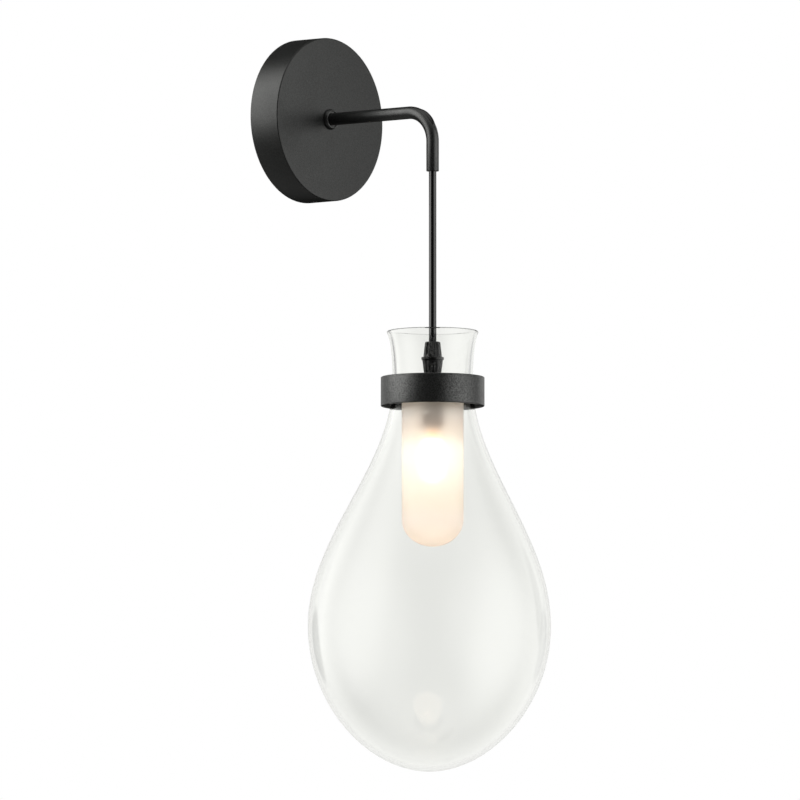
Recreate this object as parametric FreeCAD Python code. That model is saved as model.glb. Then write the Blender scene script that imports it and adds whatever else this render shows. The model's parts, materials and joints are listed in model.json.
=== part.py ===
"""Hanging pendant wall sconce: a canopy on the wall, a bent arm, a cord, and a blown glass teardrop.

Millimetres. The origin is on the wall, at the centre of the canopy's back. +Z is up, and the arm
reaches out towards -Y, so the cord and everything on it share one vertical axis at Y = -ARM_REACH.
"""

import FreeCAD
import Part

import math
import os

# ---------------------------------------------------------------- driving dimensions

# canopy and bracket
CANOPY_D = 130.0
CANOPY_DEPTH = 28.0
CANOPY_WALL = 1.2
CANOPY_EDGE_R = 1.6
BRACKET_WIDTH = 18.0
BRACKET_THICK = 1.5
BRACKET_TAB = 14.0
BRACKET_BEND_R = 1.0
SLOT_SPACING = 70.0
SLOT_WIDTH = 4.6
SLOT_LENGTH = 14.0
TAB_GAP = 0.2
CANOPY_SCREW_D = 4.0
CANOPY_SCREW_HEX = 2.0
EARTH_Z = 17.0
EARTH_SCREW_D = 4.0

# terminal block
BLOCK_LENGTH = 24.0
BLOCK_WIDTH = 16.0
BLOCK_HEIGHT = 11.0
BLOCK_TOP_Z = -9.0
BLOCK_PITCH = 7.4
BLOCK_BORE = 3.2
BLOCK_SCREW_D = 3.0

# arm
TUBE_D = 10.0
TUBE_WALL = 1.0
ARM_REACH = 134.0
ARM_BEND_R = 24.5
ARM_DROP = 48.1
ARM_TAIL = 11.0
COLLAR_D = 16.2
COLLAR_LIP_D = 13.6
COLLAR_LENGTH = 3.2
COLLAR_RECESS_D = 12.0
COLLAR_RECESS = 0.8
NUT_AF = 14.0
NUT_THICK = 4.0
WASHER_D = 17.0
WASHER_THICK = 0.8
WASHER_TEETH = 10
LINER_LENGTH = 12.0
LINER_WALL = 0.6
LINER_SETBACK = 1.0

# cord
CORD_D = 6.0
CORE_D = 2.2
RETAINER_D = 12.0
RETAINER_LENGTH = 5.0
RETAINER_SCREW_D = 2.5
CORD_TAIL = 1.0
CORD_VISIBLE = 135.8

# cord grip
CAP_HEIGHT = 12.2
CAP_TOP_D = 12.0
CAP_FOOT_D = 14.6
CAP_EDGE_R = 0.9
CAP_RIBS = 10
CAP_GROOVE_D = 2.4
CAP_GROOVE_DEPTH = 0.7
CAP_ROOF = 1.5
STEM_D = 9.8
STEM_LENGTH = 6.6
FLANGE_D = 17.9
FLANGE_THICK = 2.0
FLANGE_SLOPE = 0.8
GRIP_BODY_TOP_D = 16.4
GRIP_BODY_FOOT_D = 13.0
GRIP_BODY_LENGTH = 12.9
GRIP_BODY_RIBS = 12
GRIP_BODY_GROOVE_D = 2.0
GRIP_BODY_GROOVE_DEPTH = 0.45
GRIP_THREAD_D = 10.0
GRIP_TAIL = 10.0
COLLET_LENGTH = 3.8

# glass shade, as heights below the top of its rim
RIM_R = 36.2
RIM_WALL = 2.3
RIM_ABOVE_CAP = 9.0
WAIST_R = 31.9
WAIST_WALL = 3.4
WAIST_BELOW_RIM = 41.0
BELLY_R = 96.0
BELLY_WALL = 2.2
BELLY_BELOW_RIM = 234.0
GLASS_HEIGHT = 349.0
POLE_WALL = 3.2
FLARE_SLOPE = 0.43
FLARE_PULL = 12.0
WAIST_PULL = 2.0
SHOULDER_PULL = 67.3
BELLY_PULL_UP = 72.0
BELLY_PULL_DOWN = 63.6
POLE_PULL = 47.4

# carrier cup in the waist
CARRIER_GAP = 0.5
CARRIER_WALL = 1.4
CARRIER_PLATE = 2.0
CARRIER_HEIGHT = 18.0
BOSS_D = 7.2
BOSS_LENGTH = 4.0
SCREW_COUNT = 3
SCREW_START_DEG = 90.0
GLASS_SCREW_D = 4.0
GLASS_HOLE_D = 5.0
SCREW_BELOW_PLATE = 4.3
SCREW_HEAD_D = 7.0
SCREW_HEX = 2.5
SCREW_HEX_DEPTH = 2.5
SOFT_WASHER_D = 9.0
SOFT_WASHER_THICK = 1.0

# ring round the waist
RING_D = 82.0
RING_HEIGHT = 23.2
RING_WALL = 2.0
RING_EDGE_R = 0.7
RING_LIP_THICK = 2.0
RING_RIM_GAP = 0.6
RING_HEAD_GAP = 0.6

# lamp
HOLDER_D = 17.4
HOLDER_LENGTH = 24.0
HOLDER_DROP = 14.5
HOLDER_CHAMFER = 1.2
HOLDER_SLOT_WIDTH = 4.4
HOLDER_SLOT_LENGTH = 12.4
HOLDER_SLOT_DEPTH = 13.0
STRAP_WIDTH = 8.0
STRAP_THICK = 0.8
STRAP_BELOW_HOLDER_TOP = 9.0
HOLDER_SCREW_D = 2.5
HOLDER_SCREW_HEAD_D = 4.4
HOLDER_SCREW_HEAD = 1.4
CONTACT_THICK = 0.5
CONTACT_WIDTH = 3.4
PIN_SPACING = 9.0
PIN_WIRE_D = 0.8
PIN_LOOP_R = 0.9
PIN_LENGTH = 8.0
CAPSULE_D = 13.6
CAPSULE_WALL = 0.9
CAPSULE_LENGTH = 40.0
PINCH_LENGTH = 9.0
PINCH_WIDTH = 11.6
PINCH_THICK = 3.6
FILAMENT_D = 1.6
FILAMENT_LENGTH = 12.0
FILAMENT_ABOVE_END = 12.0
LEAD_WIRE_D = 0.5

# frosted tube
DIFFUSER_D = 49.0
DIFFUSER_WALL = 2.0
DIFFUSER_LENGTH = 124.2
DIFFUSER_END = 21.6
DIFFUSER_LIP_D = 51.2
DIFFUSER_LIP = 2.0
GASKET_THICK = 1.0
RETAINER_RING_HEIGHT = 3.6

# clearances
FIT = 0.1
SLIP = 0.25
SEAT = 0.3

# ---------------------------------------------------------------- places worked out from them

X = FreeCAD.Vector(1, 0, 0)
Y = FreeCAD.Vector(0, 1, 0)
Z = FreeCAD.Vector(0, 0, 1)

CORD_R = CORD_D / 2
TUBE_R = TUBE_D / 2
TUBE_BORE_R = TUBE_R - TUBE_WALL
CANOPY_BORE_R = CANOPY_D / 2 - CANOPY_WALL
CANOPY_INNER_Y = -CANOPY_DEPTH + CANOPY_WALL
WASHER_Y = CANOPY_INNER_Y + WASHER_THICK
TUBE_END_Y = CANOPY_INNER_Y + ARM_TAIL
RETAINER_END_Y = TUBE_END_Y + RETAINER_LENGTH
CORD_END_Y = RETAINER_END_Y + CORD_TAIL
MOUTH_Z = -ARM_DROP

# the cord bends about this point, just under the arm's mouth
PIVOT_Z = MOUTH_Z - CORD_R - SEAT

CAP_TOP_Z = MOUTH_Z - CORD_VISIBLE
CAP_FOOT_Z = CAP_TOP_Z - CAP_HEIGHT
FLANGE_FOOT_Z = CAP_FOOT_Z - FLANGE_THICK
GRIP_FOOT_Z = FLANGE_FOOT_Z - FLANGE_SLOPE - GRIP_BODY_LENGTH
PLATE_TOP_Z = GRIP_FOOT_Z
PLATE_FOOT_Z = PLATE_TOP_Z - CARRIER_PLATE
COLLET_TOP_Z = CAP_TOP_Z - CAP_ROOF - FIT
COLLET_FOOT_Z = COLLET_TOP_Z - COLLET_LENGTH
STEM_TOP_Z = CAP_FOOT_Z + STEM_LENGTH
GRIP_TAIL_Z = PLATE_TOP_Z - GRIP_TAIL
CORD_FOOT_Z = PLATE_FOOT_Z
CORD_BORE_R = CORD_R + SLIP

RIM_Z = CAP_TOP_Z + RIM_ABOVE_CAP
WAIST_Z = RIM_Z - WAIST_BELOW_RIM
BELLY_Z = RIM_Z - BELLY_BELOW_RIM
POLE_Z = RIM_Z - GLASS_HEIGHT
WAIST_BORE_R = WAIST_R - WAIST_WALL

CARRIER_R = WAIST_BORE_R - CARRIER_GAP
CARRIER_BORE_R = CARRIER_R - CARRIER_WALL
CARRIER_FOOT_Z = PLATE_TOP_Z - CARRIER_HEIGHT
SCREW_Z = PLATE_FOOT_Z - SCREW_BELOW_PLATE + CARRIER_PLATE / 2
RING_BORE_R = RING_D / 2 - RING_WALL
RING_LIP_BORE_R = RIM_R + RING_RIM_GAP
RING_LIP_FOOT_Z = SCREW_Z + SCREW_HEAD_D / 2 + FIT
RING_TOP_Z = RING_LIP_FOOT_Z + RING_LIP_THICK
RING_FOOT_Z = RING_TOP_Z - RING_HEIGHT
HEAD_END_R = RING_BORE_R - RING_HEAD_GAP
SCREW_TIP_R = CARRIER_BORE_R - BOSS_LENGTH

STRAP_TOP_Z = PLATE_FOOT_Z
HOLDER_TOP_Z = PLATE_FOOT_Z - HOLDER_DROP
HOLDER_FOOT_Z = HOLDER_TOP_Z - HOLDER_LENGTH
HOLDER_SCREW_Z = HOLDER_TOP_Z - STRAP_BELOW_HOLDER_TOP
STRAP_INNER_X = HOLDER_D / 2 + FIT

GASKET_TOP_Z = SCREW_Z - BOSS_D / 2 - FIT
DIFFUSER_TOP_Z = GASKET_TOP_Z - GASKET_THICK
DIFFUSER_FOOT_Z = DIFFUSER_TOP_Z - DIFFUSER_LENGTH
LIP_FOOT_Z = DIFFUSER_TOP_Z - DIFFUSER_LIP


def vec(x, y, z):
    """A vector."""
    return FreeCAD.Vector(x, y, z)


# ---------------------------------------------------------------- shared forms


def on_cord_axis(shape):
    """Moves a shape made round the Z axis onto the cord's axis."""
    return shape.translated(vec(0, -ARM_REACH, 0))


def turned(points, axis=Z):
    """A solid of revolution about Z or Y, from the corners (radius, height) of half its section."""
    along = {"z": lambda r, h: vec(r, 0, h), "y": lambda r, h: vec(r, h, 0)}["z" if axis == Z else "y"]
    corners = [along(r, h) for r, h in points]
    wire = Part.makePolygon(corners + corners[:1])
    return Part.Face(wire).revolve(vec(0, 0, 0), axis, 360)


def tube(outer_r, inner_r, low, high):
    """A round tube on the cord's axis, between two heights."""
    return on_cord_axis(turned([(inner_r, low), (outer_r, low), (outer_r, high), (inner_r, high)]))


def hexagon(across_flats, low, high, bore_r):
    """A chamfered hexagon nut along Z with its bore."""
    radius = across_flats / 2 / math.cos(math.pi / 6)
    corners = [vec(radius * math.cos(i * math.pi / 3), radius * math.sin(i * math.pi / 3), low)
               for i in range(6)]
    nut = Part.Face(Part.makePolygon(corners + corners[:1])).extrude(Z * (high - low))
    slope = radius - across_flats / 2
    rounded = turned([(0, low), (across_flats / 2, low), (radius, low + slope),
                      (radius, high - slope), (across_flats / 2, high), (0, high)])
    bore = Part.makeCylinder(bore_r, high - low + 2, vec(0, 0, low - 1))
    return nut.common(rounded).cut(bore)


def socket(across_flats, depth):
    """A hexagon socket's cutter, from z = -depth up past z = 0."""
    radius = across_flats / 2 / math.cos(math.pi / 6)
    corners = [vec(radius * math.cos(i * math.pi / 3), radius * math.sin(i * math.pi / 3), -depth)
               for i in range(6)]
    return Part.Face(Part.makePolygon(corners + corners[:1])).extrude(Z * (depth + 1))


def facing(shape, direction, place):
    """Turns a shape made along +Z so that it points in a direction, and moves it to its place."""
    placed = shape.copy()
    placed.Placement = FreeCAD.Placement(place, FreeCAD.Rotation(Z, direction))
    return placed


def route(points, radii):
    """A wire of straight runs through the points, with a tangent arc of the given radius at each bend."""
    edges, start = [], points[0]
    for i, radius in enumerate(radii, 1):
        corner = points[i]
        back = (points[i - 1] - corner).normalize()
        ahead = (points[i + 1] - corner).normalize()
        half = back.getAngle(ahead) / 2
        reach = radius / math.tan(half)
        arc_in, arc_out = corner + back * reach, corner + ahead * reach
        middle_way = (back + ahead).normalize()
        arc_mid = corner + middle_way * (radius / math.sin(half) - radius)
        if (arc_in - start).Length > 1e-6:
            edges.append(Part.LineSegment(start, arc_in).toShape())
        edges.append(Part.Arc(arc_in, arc_mid, arc_out).toShape())
        start = arc_out
    edges.append(Part.LineSegment(start, points[-1]).toShape())
    return Part.Wire(edges)


def swept(path, radius, start, direction):
    """A round bar along a path."""
    section = Part.Wire(Part.Circle(start, direction, radius).toShape())
    return path.makePipeShell([section], True, True)


def round_the_axis(shape, count, start_deg=0.0):
    """Copies of a shape, evenly spaced round Z."""
    return [shape.rotated(vec(0, 0, 0), Z, start_deg + i * 360.0 / count) for i in range(count)]


# ---------------------------------------------------------------- wall side


def slot_cutter(z, length, width):
    """The cutter of a slotted hole that runs along Z through the strip."""
    half = length / 2 - width / 2
    depth = BRACKET_THICK + 2
    block = Part.makeBox(width, depth, 2 * half, vec(-width / 2, -depth + 1, z - half))
    ends = [Part.makeCylinder(width / 2, depth, vec(0, 1, z + side * half), -Y) for side in (1, -1)]
    return block.fuse(ends)


def tab_face_z():
    """Height of the outer face of a bracket tab, set by the canopy's round bore."""
    return math.sqrt(CANOPY_BORE_R ** 2 - (BRACKET_WIDTH / 2) ** 2) - TAB_GAP


def tab_screw_y():
    """Depth of the canopy screws, in the middle of the tab."""
    return -BRACKET_TAB / 2 - BRACKET_THICK / 2


def wall_bracket():
    """A steel strip with two slots, a raised earth hole and two tabs bent towards the front."""
    top = tab_face_z()
    outer, inner = BRACKET_BEND_R + BRACKET_THICK, BRACKET_BEND_R
    strip = Part.makeBox(BRACKET_WIDTH, BRACKET_THICK, 2 * (top - outer),
                         vec(-BRACKET_WIDTH / 2, -BRACKET_THICK, -(top - outer)))
    tab = Part.makeBox(BRACKET_WIDTH, BRACKET_TAB - outer, BRACKET_THICK,
                       vec(-BRACKET_WIDTH / 2, -BRACKET_TAB, top - BRACKET_THICK))
    bend_axis = vec(-BRACKET_WIDTH / 2, -outer, top - outer)
    bend = Part.makeCylinder(outer, BRACKET_WIDTH, bend_axis, X)
    bend = bend.cut(Part.makeCylinder(inner, BRACKET_WIDTH, bend_axis, X))
    bend = bend.common(Part.makeBox(BRACKET_WIDTH, outer, outer, bend_axis))
    upper = tab.fuse(bend)
    bracket = strip.fuse([upper, upper.mirror(vec(0, 0, 0), Z)])
    cutters = [slot_cutter(side * SLOT_SPACING / 2, SLOT_LENGTH, SLOT_WIDTH) for side in (1, -1)]
    cutters.append(Part.makeCylinder(EARTH_SCREW_D / 2 + FIT, BRACKET_THICK + 2, vec(0, 1, EARTH_Z), -Y))
    cutters.append(Part.makeCylinder(CANOPY_SCREW_D / 2 + FIT, 2 * top + 2,
                                     vec(0, tab_screw_y(), -top - 1), Z))
    return bracket.cut(cutters).removeSplitter()


def canopy():
    """The deep drawn cover: a flat face, a rounded edge and a straight side, open at the back."""
    radius, bore = CANOPY_D / 2, CANOPY_BORE_R
    shell = turned([(0, -CANOPY_DEPTH), (radius, -CANOPY_DEPTH), (radius, 0), (0, 0)], Y)
    edge = [e for e in shell.Edges if abs(e.CenterOfMass.y + CANOPY_DEPTH) < 1e-6 and len(e.Vertexes) == 1]
    shell = shell.makeFillet(CANOPY_EDGE_R, edge)
    inside = turned([(0, CANOPY_INNER_Y), (bore, CANOPY_INNER_Y), (bore, 1), (0, 1)], Y)
    corner = [e for e in inside.Edges if abs(e.CenterOfMass.y - CANOPY_INNER_Y) < 1e-6
              and len(e.Vertexes) == 1]
    inside = inside.makeFillet(max(CANOPY_EDGE_R - CANOPY_WALL, 0.3), corner)
    holes = [Part.makeCylinder(TUBE_R + FIT, CANOPY_WALL + 2, vec(0, -CANOPY_DEPTH - 1, 0), Y)]
    holes.append(Part.makeCylinder(CANOPY_SCREW_D / 2 + FIT, CANOPY_D + 2,
                                   vec(0, tab_screw_y(), -radius - 1), Z))
    return shell.cut([inside] + holes)


def canopy_screws():
    """Two set screws, flush with the canopy's side and through the tabs, each with a hexagon socket."""
    length = CANOPY_D / 2 - (tab_face_z() - BRACKET_THICK) + 1.0
    screw = Part.makeCylinder(CANOPY_SCREW_D / 2, length, vec(0, 0, -length))
    screw = screw.cut(socket(CANOPY_SCREW_HEX, length / 2))
    return [facing(screw, Z * side, vec(0, tab_screw_y(), side * (CANOPY_D / 2 - FIT))) for side in (1, -1)]


def earth_screw():
    """A pan head screw through the strip, with its square clamp washer."""
    head_r, head = EARTH_SCREW_D * 0.95, EARTH_SCREW_D * 0.6
    clamp = EARTH_SCREW_D * 2.2
    washer = Part.makeBox(clamp, clamp, WASHER_THICK, vec(-clamp / 2, -clamp / 2, 0))
    dome = Part.makeCylinder(head_r, head, vec(0, 0, WASHER_THICK))
    rim = [e for e in dome.Edges if abs(e.CenterOfMass.z - WASHER_THICK - head) < 1e-6]
    dome = dome.makeFillet(head * 0.4, rim)
    shank = Part.makeCylinder(EARTH_SCREW_D / 2, BRACKET_THICK, vec(0, 0, -BRACKET_THICK))
    slot = Part.makeBox(2 * head_r, EARTH_SCREW_D * 0.2, head * 0.5,
                        vec(-head_r, -EARTH_SCREW_D * 0.1, WASHER_THICK + head * 0.5))
    screw = washer.fuse([dome, shank]).cut(slot)
    return facing(screw, -Y, vec(0, -BRACKET_THICK, EARTH_Z))


def block_poles():
    """The X places of the three poles."""
    return [-BLOCK_PITCH, 0.0, BLOCK_PITCH]


def core_y():
    """Depth of the terminal bores."""
    return -BRACKET_THICK - BLOCK_HEIGHT * 0.42


def terminal_block():
    """Three moulded poles on a common base, each with a wire bore and a screw well at both ends."""
    low = BLOCK_TOP_Z - BLOCK_WIDTH
    front = -BRACKET_THICK - BLOCK_HEIGHT
    base = Part.makeBox(BLOCK_LENGTH, BLOCK_HEIGHT * 0.35, BLOCK_WIDTH,
                        vec(-BLOCK_LENGTH / 2, -BRACKET_THICK - BLOCK_HEIGHT * 0.35, low))
    barrel = BLOCK_PITCH * 0.86
    poles = []
    for x in block_poles():
        pole = Part.makeBox(barrel, BLOCK_HEIGHT, BLOCK_WIDTH, vec(x - barrel / 2, front, low))
        front_edges = [e for e in pole.Edges if abs(e.CenterOfMass.y - front) < 1e-6]
        poles.append(pole.makeFillet(barrel * 0.18, front_edges))
    block = base.fuse(poles)
    cutters = []
    for x in block_poles():
        cutters.append(Part.makeCylinder(BLOCK_BORE / 2, BLOCK_WIDTH + 2, vec(x, core_y(), low - 1), Z))
        for z in screw_heights():
            cutters.append(Part.makeCylinder(BLOCK_SCREW_D / 2 + FIT, -core_y() + front + BLOCK_HEIGHT * 2,
                                             vec(x, core_y(), z), -Y))
    return block.cut(cutters)


def screw_heights():
    """The Z places of the two rows of clamping screws."""
    return [BLOCK_TOP_Z - BLOCK_WIDTH * share for share in (0.27, 0.73)]


def terminal_screws():
    """Six slotted clamping screws, sunk in their wells."""
    length = BLOCK_HEIGHT * 0.4
    tip_y = core_y() - CORE_D / 2
    screw = Part.makeCylinder(BLOCK_SCREW_D / 2, length)
    slot = Part.makeBox(BLOCK_SCREW_D, BLOCK_SCREW_D * 0.2, length * 0.25,
                        vec(-BLOCK_SCREW_D / 2, -BLOCK_SCREW_D * 0.1, length * 0.75))
    screw = screw.cut(slot)
    return [facing(screw, -Y, vec(x, tip_y, z)) for x in block_poles() for z in screw_heights()]


def arm_path(start_y, end_z):
    """The arm's centreline: out from the wall, one bend, and down the cord's axis."""
    points = [vec(0, start_y, 0), vec(0, -ARM_REACH, 0), vec(0, -ARM_REACH, end_z)]
    return route(points, [ARM_BEND_R])


def arm_tube():
    """The bent steel tube, square cut at the mouth with its edges just broken."""
    path = arm_path(TUBE_END_Y, MOUTH_Z)
    start = vec(0, TUBE_END_Y, 0)
    return swept(path, TUBE_R, start, Y).cut(swept(path, TUBE_BORE_R, start, Y))


def arm_collar():
    """A rounded collar against the canopy, its lip recessed round the tube."""
    back, front = -CANOPY_DEPTH, -CANOPY_DEPTH - COLLAR_LENGTH
    base, lip, bore = COLLAR_D / 2, COLLAR_LIP_D / 2, TUBE_R + FIT / 2
    recess = COLLAR_RECESS_D / 2
    belly_y = back - COLLAR_LENGTH * 0.4
    corner = vec(lip + (base - lip) * 0.75, front + (belly_y - front) * 0.25, 0)
    profile = Part.Wire([
        Part.LineSegment(vec(bore, back, 0), vec(base, back, 0)).toShape(),
        Part.LineSegment(vec(base, back, 0), vec(base, belly_y, 0)).toShape(),
        Part.Arc(vec(base, belly_y, 0), corner, vec(lip, front, 0)).toShape(),
        Part.LineSegment(vec(lip, front, 0), vec(recess, front, 0)).toShape(),
        Part.LineSegment(vec(recess, front, 0), vec(recess, front + COLLAR_RECESS, 0)).toShape(),
        Part.LineSegment(vec(recess, front + COLLAR_RECESS, 0), vec(bore, front + COLLAR_RECESS, 0)).toShape(),
        Part.LineSegment(vec(bore, front + COLLAR_RECESS, 0), vec(bore, back, 0)).toShape(),
    ])
    return Part.Face(profile).revolve(vec(0, 0, 0), Y, 360)


def arm_washer():
    """A toothed washer against the canopy's inner face."""
    outer, root = WASHER_D / 2, WASHER_D / 2 - 1.6
    washer = turned([(TUBE_R + FIT, 0), (outer, 0), (outer, WASHER_THICK), (TUBE_R + FIT, WASHER_THICK)])
    notch = Part.makeBox(outer - root + 1, 1.6, WASHER_THICK + 2, vec(root, -0.8, -1))
    washer = washer.cut(round_the_axis(notch, WASHER_TEETH))
    return facing(washer, Y, vec(0, CANOPY_INNER_Y, 0))


def arm_locknut():
    """The nut that clamps the arm in the canopy."""
    return facing(hexagon(NUT_AF, 0, NUT_THICK, TUBE_R + FIT / 2), Y, vec(0, WASHER_Y, 0))


def arm_liner():
    """A thin sleeve just inside the arm's mouth."""
    low = MOUTH_Z + LINER_SETBACK
    outer = TUBE_BORE_R - FIT / 2
    return tube(outer, outer - LINER_WALL, low, low + LINER_LENGTH)


def cord_retainer():
    """A round clamp on the cord, against the arm's inner end."""
    bore, radius = CORD_R + FIT / 2, RETAINER_D / 2
    body = turned([(bore, 0), (radius, 0), (radius, RETAINER_LENGTH), (bore, RETAINER_LENGTH)])
    edges = [e for e in body.Edges if len(e.Vertexes) == 1 and e.Curve.Radius > bore + 1e-6]
    body = body.makeChamfer(0.6, edges)
    middle = RETAINER_LENGTH / 2
    hole = Part.makeCylinder(RETAINER_SCREW_D / 2 + FIT, RETAINER_D, vec(0, 0, middle), X)
    return facing(body, Y, vec(0, TUBE_END_Y, 0)).cut(
        facing(hole, Y, vec(0, TUBE_END_Y, 0)))


def retainer_screw():
    """The slotted set screw in the cord clamp."""
    length = RETAINER_D / 2 - CORD_R - FIT
    screw = Part.makeCylinder(RETAINER_SCREW_D / 2, length)
    slot = Part.makeBox(RETAINER_SCREW_D, RETAINER_SCREW_D * 0.2, length * 0.3,
                        vec(-RETAINER_SCREW_D / 2, -RETAINER_SCREW_D * 0.1, length * 0.7))
    hole_way = FreeCAD.Rotation(Z, Y).multVec(X)
    place = vec(0, TUBE_END_Y + RETAINER_LENGTH / 2, 0) + hole_way * (CORD_R + FIT / 2)
    return facing(screw.cut(slot), hole_way, place)


def cord_in_arm():
    """The cord from the canopy through the arm to its mouth."""
    path = arm_path(CORD_END_Y, MOUTH_Z)
    cord = swept(path, CORD_R, vec(0, CORD_END_Y, 0), Y)
    print("cord in the arm: length %.1f, least radius %.1f, volume share %.4f"
          % (path.Length, ARM_BEND_R, cord.Volume / (math.pi * CORD_R ** 2 * path.Length)))
    return cord


def canopy_cores():
    """Three cores from the cord's end, fanned out and down into the terminal block."""
    cores = []
    for x in block_poles():
        start = vec(x * CORE_D / BLOCK_PITCH * 0.85, CORD_END_Y, 0)
        points = [start, vec(start.x, core_y(), 0), vec(x, core_y(), BLOCK_TOP_Z - CORE_D)]
        bends = [min(abs(core_y() - CORD_END_Y), 2 * CORE_D) * 0.8]
        if abs(x) > CORE_D:
            points.insert(2, vec(x, core_y(), BLOCK_TOP_Z + 0.6 * CORE_D))
            bends.append(1.6 * CORE_D)
        cores.append(swept(route(points, bends), CORE_D / 2, start, Y))
    return cores


# ---------------------------------------------------------------- cord and grip


def cord_flex():
    """The ball of cord under the mouth, about which the pendant swings."""
    return on_cord_axis(Part.makeSphere(CORD_R, vec(0, 0, PIVOT_Z)))


def hanging_cord():
    """The straight cord, hollowed at the top round the flexing ball."""
    cord = Part.makeCylinder(CORD_R, PIVOT_Z - CORD_FOOT_Z, vec(0, 0, CORD_FOOT_Z))
    return on_cord_axis(cord.cut(Part.makeSphere(CORD_R + SEAT, vec(0, 0, PIVOT_Z))))


def grooves(count, width, depth, top_r, top_z, foot_r, foot_z):
    """Cutters of shallow flutes down a cone, each a bar that leans with the cone's side."""
    out = width / 2 - depth
    low, high = vec(foot_r + out, 0, foot_z), vec(top_r + out, 0, top_z)
    way = (high - low).normalize()
    bar = Part.makeCylinder(width / 2, (high - low).Length + 2 * width, low - way * width, way)
    return round_the_axis(bar, count, 180.0 / count)


def grip_cap():
    """The tapered compression nut with a rounded top edge and flutes."""
    top, foot = CAP_TOP_D / 2, CAP_FOOT_D / 2
    cone = turned([(0, CAP_FOOT_Z), (foot, CAP_FOOT_Z), (top, CAP_TOP_Z), (0, CAP_TOP_Z)])
    edge = [e for e in cone.Edges if abs(e.CenterOfMass.z - CAP_TOP_Z) < 1e-6 and len(e.Vertexes) == 1]
    cone = cone.makeFillet(CAP_EDGE_R, edge)
    cone = cone.cut(grooves(CAP_RIBS, CAP_GROOVE_D, CAP_GROOVE_DEPTH, top, CAP_TOP_Z, foot, CAP_FOOT_Z))
    cavity = Part.makeCylinder(STEM_D / 2 + FIT, CAP_HEIGHT - CAP_ROOF + 1, vec(0, 0, CAP_FOOT_Z - 1))
    hole = Part.makeCylinder(CORD_BORE_R, CAP_HEIGHT + 2, vec(0, 0, CAP_FOOT_Z - 1))
    return on_cord_axis(cone.cut([cavity, hole]))


def grip_collet():
    """The soft insert under the nut's roof, with a tapered foot in the stem's mouth."""
    bore, outer = CORD_R + FIT / 2, STEM_D / 2
    foot = outer - 0.8
    return on_cord_axis(turned([(bore, COLLET_FOOT_Z), (foot, COLLET_FOOT_Z), (outer, COLLET_FOOT_Z + 1.2),
                                (outer, COLLET_TOP_Z), (bore, COLLET_TOP_Z)]))


def grip_body():
    """Stem, flange, fluted taper and threaded tail, bored for the cord."""
    stem, flange, tail = STEM_D / 2, FLANGE_D / 2, GRIP_THREAD_D / 2
    top, foot = GRIP_BODY_TOP_D / 2, GRIP_BODY_FOOT_D / 2
    taper_z = FLANGE_FOOT_Z - FLANGE_SLOPE
    stem_top = min(STEM_TOP_Z, COLLET_FOOT_Z)
    body = turned([(0, GRIP_TAIL_Z), (tail, GRIP_TAIL_Z), (tail, GRIP_FOOT_Z), (foot, GRIP_FOOT_Z),
                   (top, taper_z), (flange, FLANGE_FOOT_Z), (flange, CAP_FOOT_Z), (stem, CAP_FOOT_Z),
                   (stem, stem_top), (0, stem_top)])
    flutes = grooves(GRIP_BODY_RIBS, GRIP_BODY_GROOVE_D, GRIP_BODY_GROOVE_DEPTH, top, taper_z, foot, GRIP_FOOT_Z)
    limits = turned([(tail + FIT, GRIP_FOOT_Z), (flange + 1, GRIP_FOOT_Z), (flange + 1, taper_z),
                     (tail + FIT, taper_z)])
    flutes = [flute.common(limits) for flute in flutes]
    bore = Part.makeCylinder(CORD_BORE_R, stem_top - GRIP_TAIL_Z + 2, vec(0, 0, GRIP_TAIL_Z - 1))
    return on_cord_axis(body.cut(flutes + [bore]))


def grip_locknut():
    """The nut that clamps the grip, the carrier plate and the lampholder's strap."""
    high = STRAP_TOP_Z - STRAP_THICK
    return on_cord_axis(hexagon(NUT_AF, high - NUT_THICK, high, GRIP_THREAD_D / 2 + FIT / 2))


# ---------------------------------------------------------------- glass, carrier and ring


# the pull, as a share of the radius, that makes a curve of four poles a quarter round
ROUND = 0.5523


def bezier(points):
    """One smooth edge from its four poles, each (radius, height)."""
    curve = Part.BezierCurve()
    curve.setPoles([vec(r, 0, z) for r, z in points])
    return curve.toShape()


def glass_side(rim_r, rim_z, waist_r, belly_r, pole_z):
    """The glass's outline, inner or outer: a flared collar, the waist, the shoulder and the belly."""
    depth, full_depth = BELLY_Z - pole_z, BELLY_Z - POLE_Z
    share = depth / full_depth
    wide = belly_r / BELLY_R
    neck = bezier([(rim_r, rim_z), (rim_r - FLARE_SLOPE * FLARE_PULL, rim_z - FLARE_PULL),
                   (waist_r, WAIST_Z + WAIST_PULL), (waist_r, WAIST_Z)])
    shoulder = bezier([(waist_r, WAIST_Z), (waist_r, WAIST_Z - SHOULDER_PULL),
                       (belly_r, BELLY_Z + BELLY_PULL_UP), (belly_r, BELLY_Z)])
    bottom = bezier([(belly_r, BELLY_Z), (belly_r, BELLY_Z - BELLY_PULL_DOWN * share),
                     (POLE_PULL * wide, pole_z), (0, pole_z)])
    return [neck, shoulder, bottom]


def screw_places():
    """The outward directions of the three glass screws."""
    step = 360.0 / SCREW_COUNT
    return [FreeCAD.Rotation(Z, SCREW_START_DEG + i * step).multVec(X) for i in range(SCREW_COUNT)]


def radial(shape, radius):
    """Copies of a shape made along +Z, one at each glass screw, its foot at a radius."""
    return [facing(shape, way, vec(0, -ARM_REACH, SCREW_Z) + way * radius) for way in screw_places()]


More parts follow.
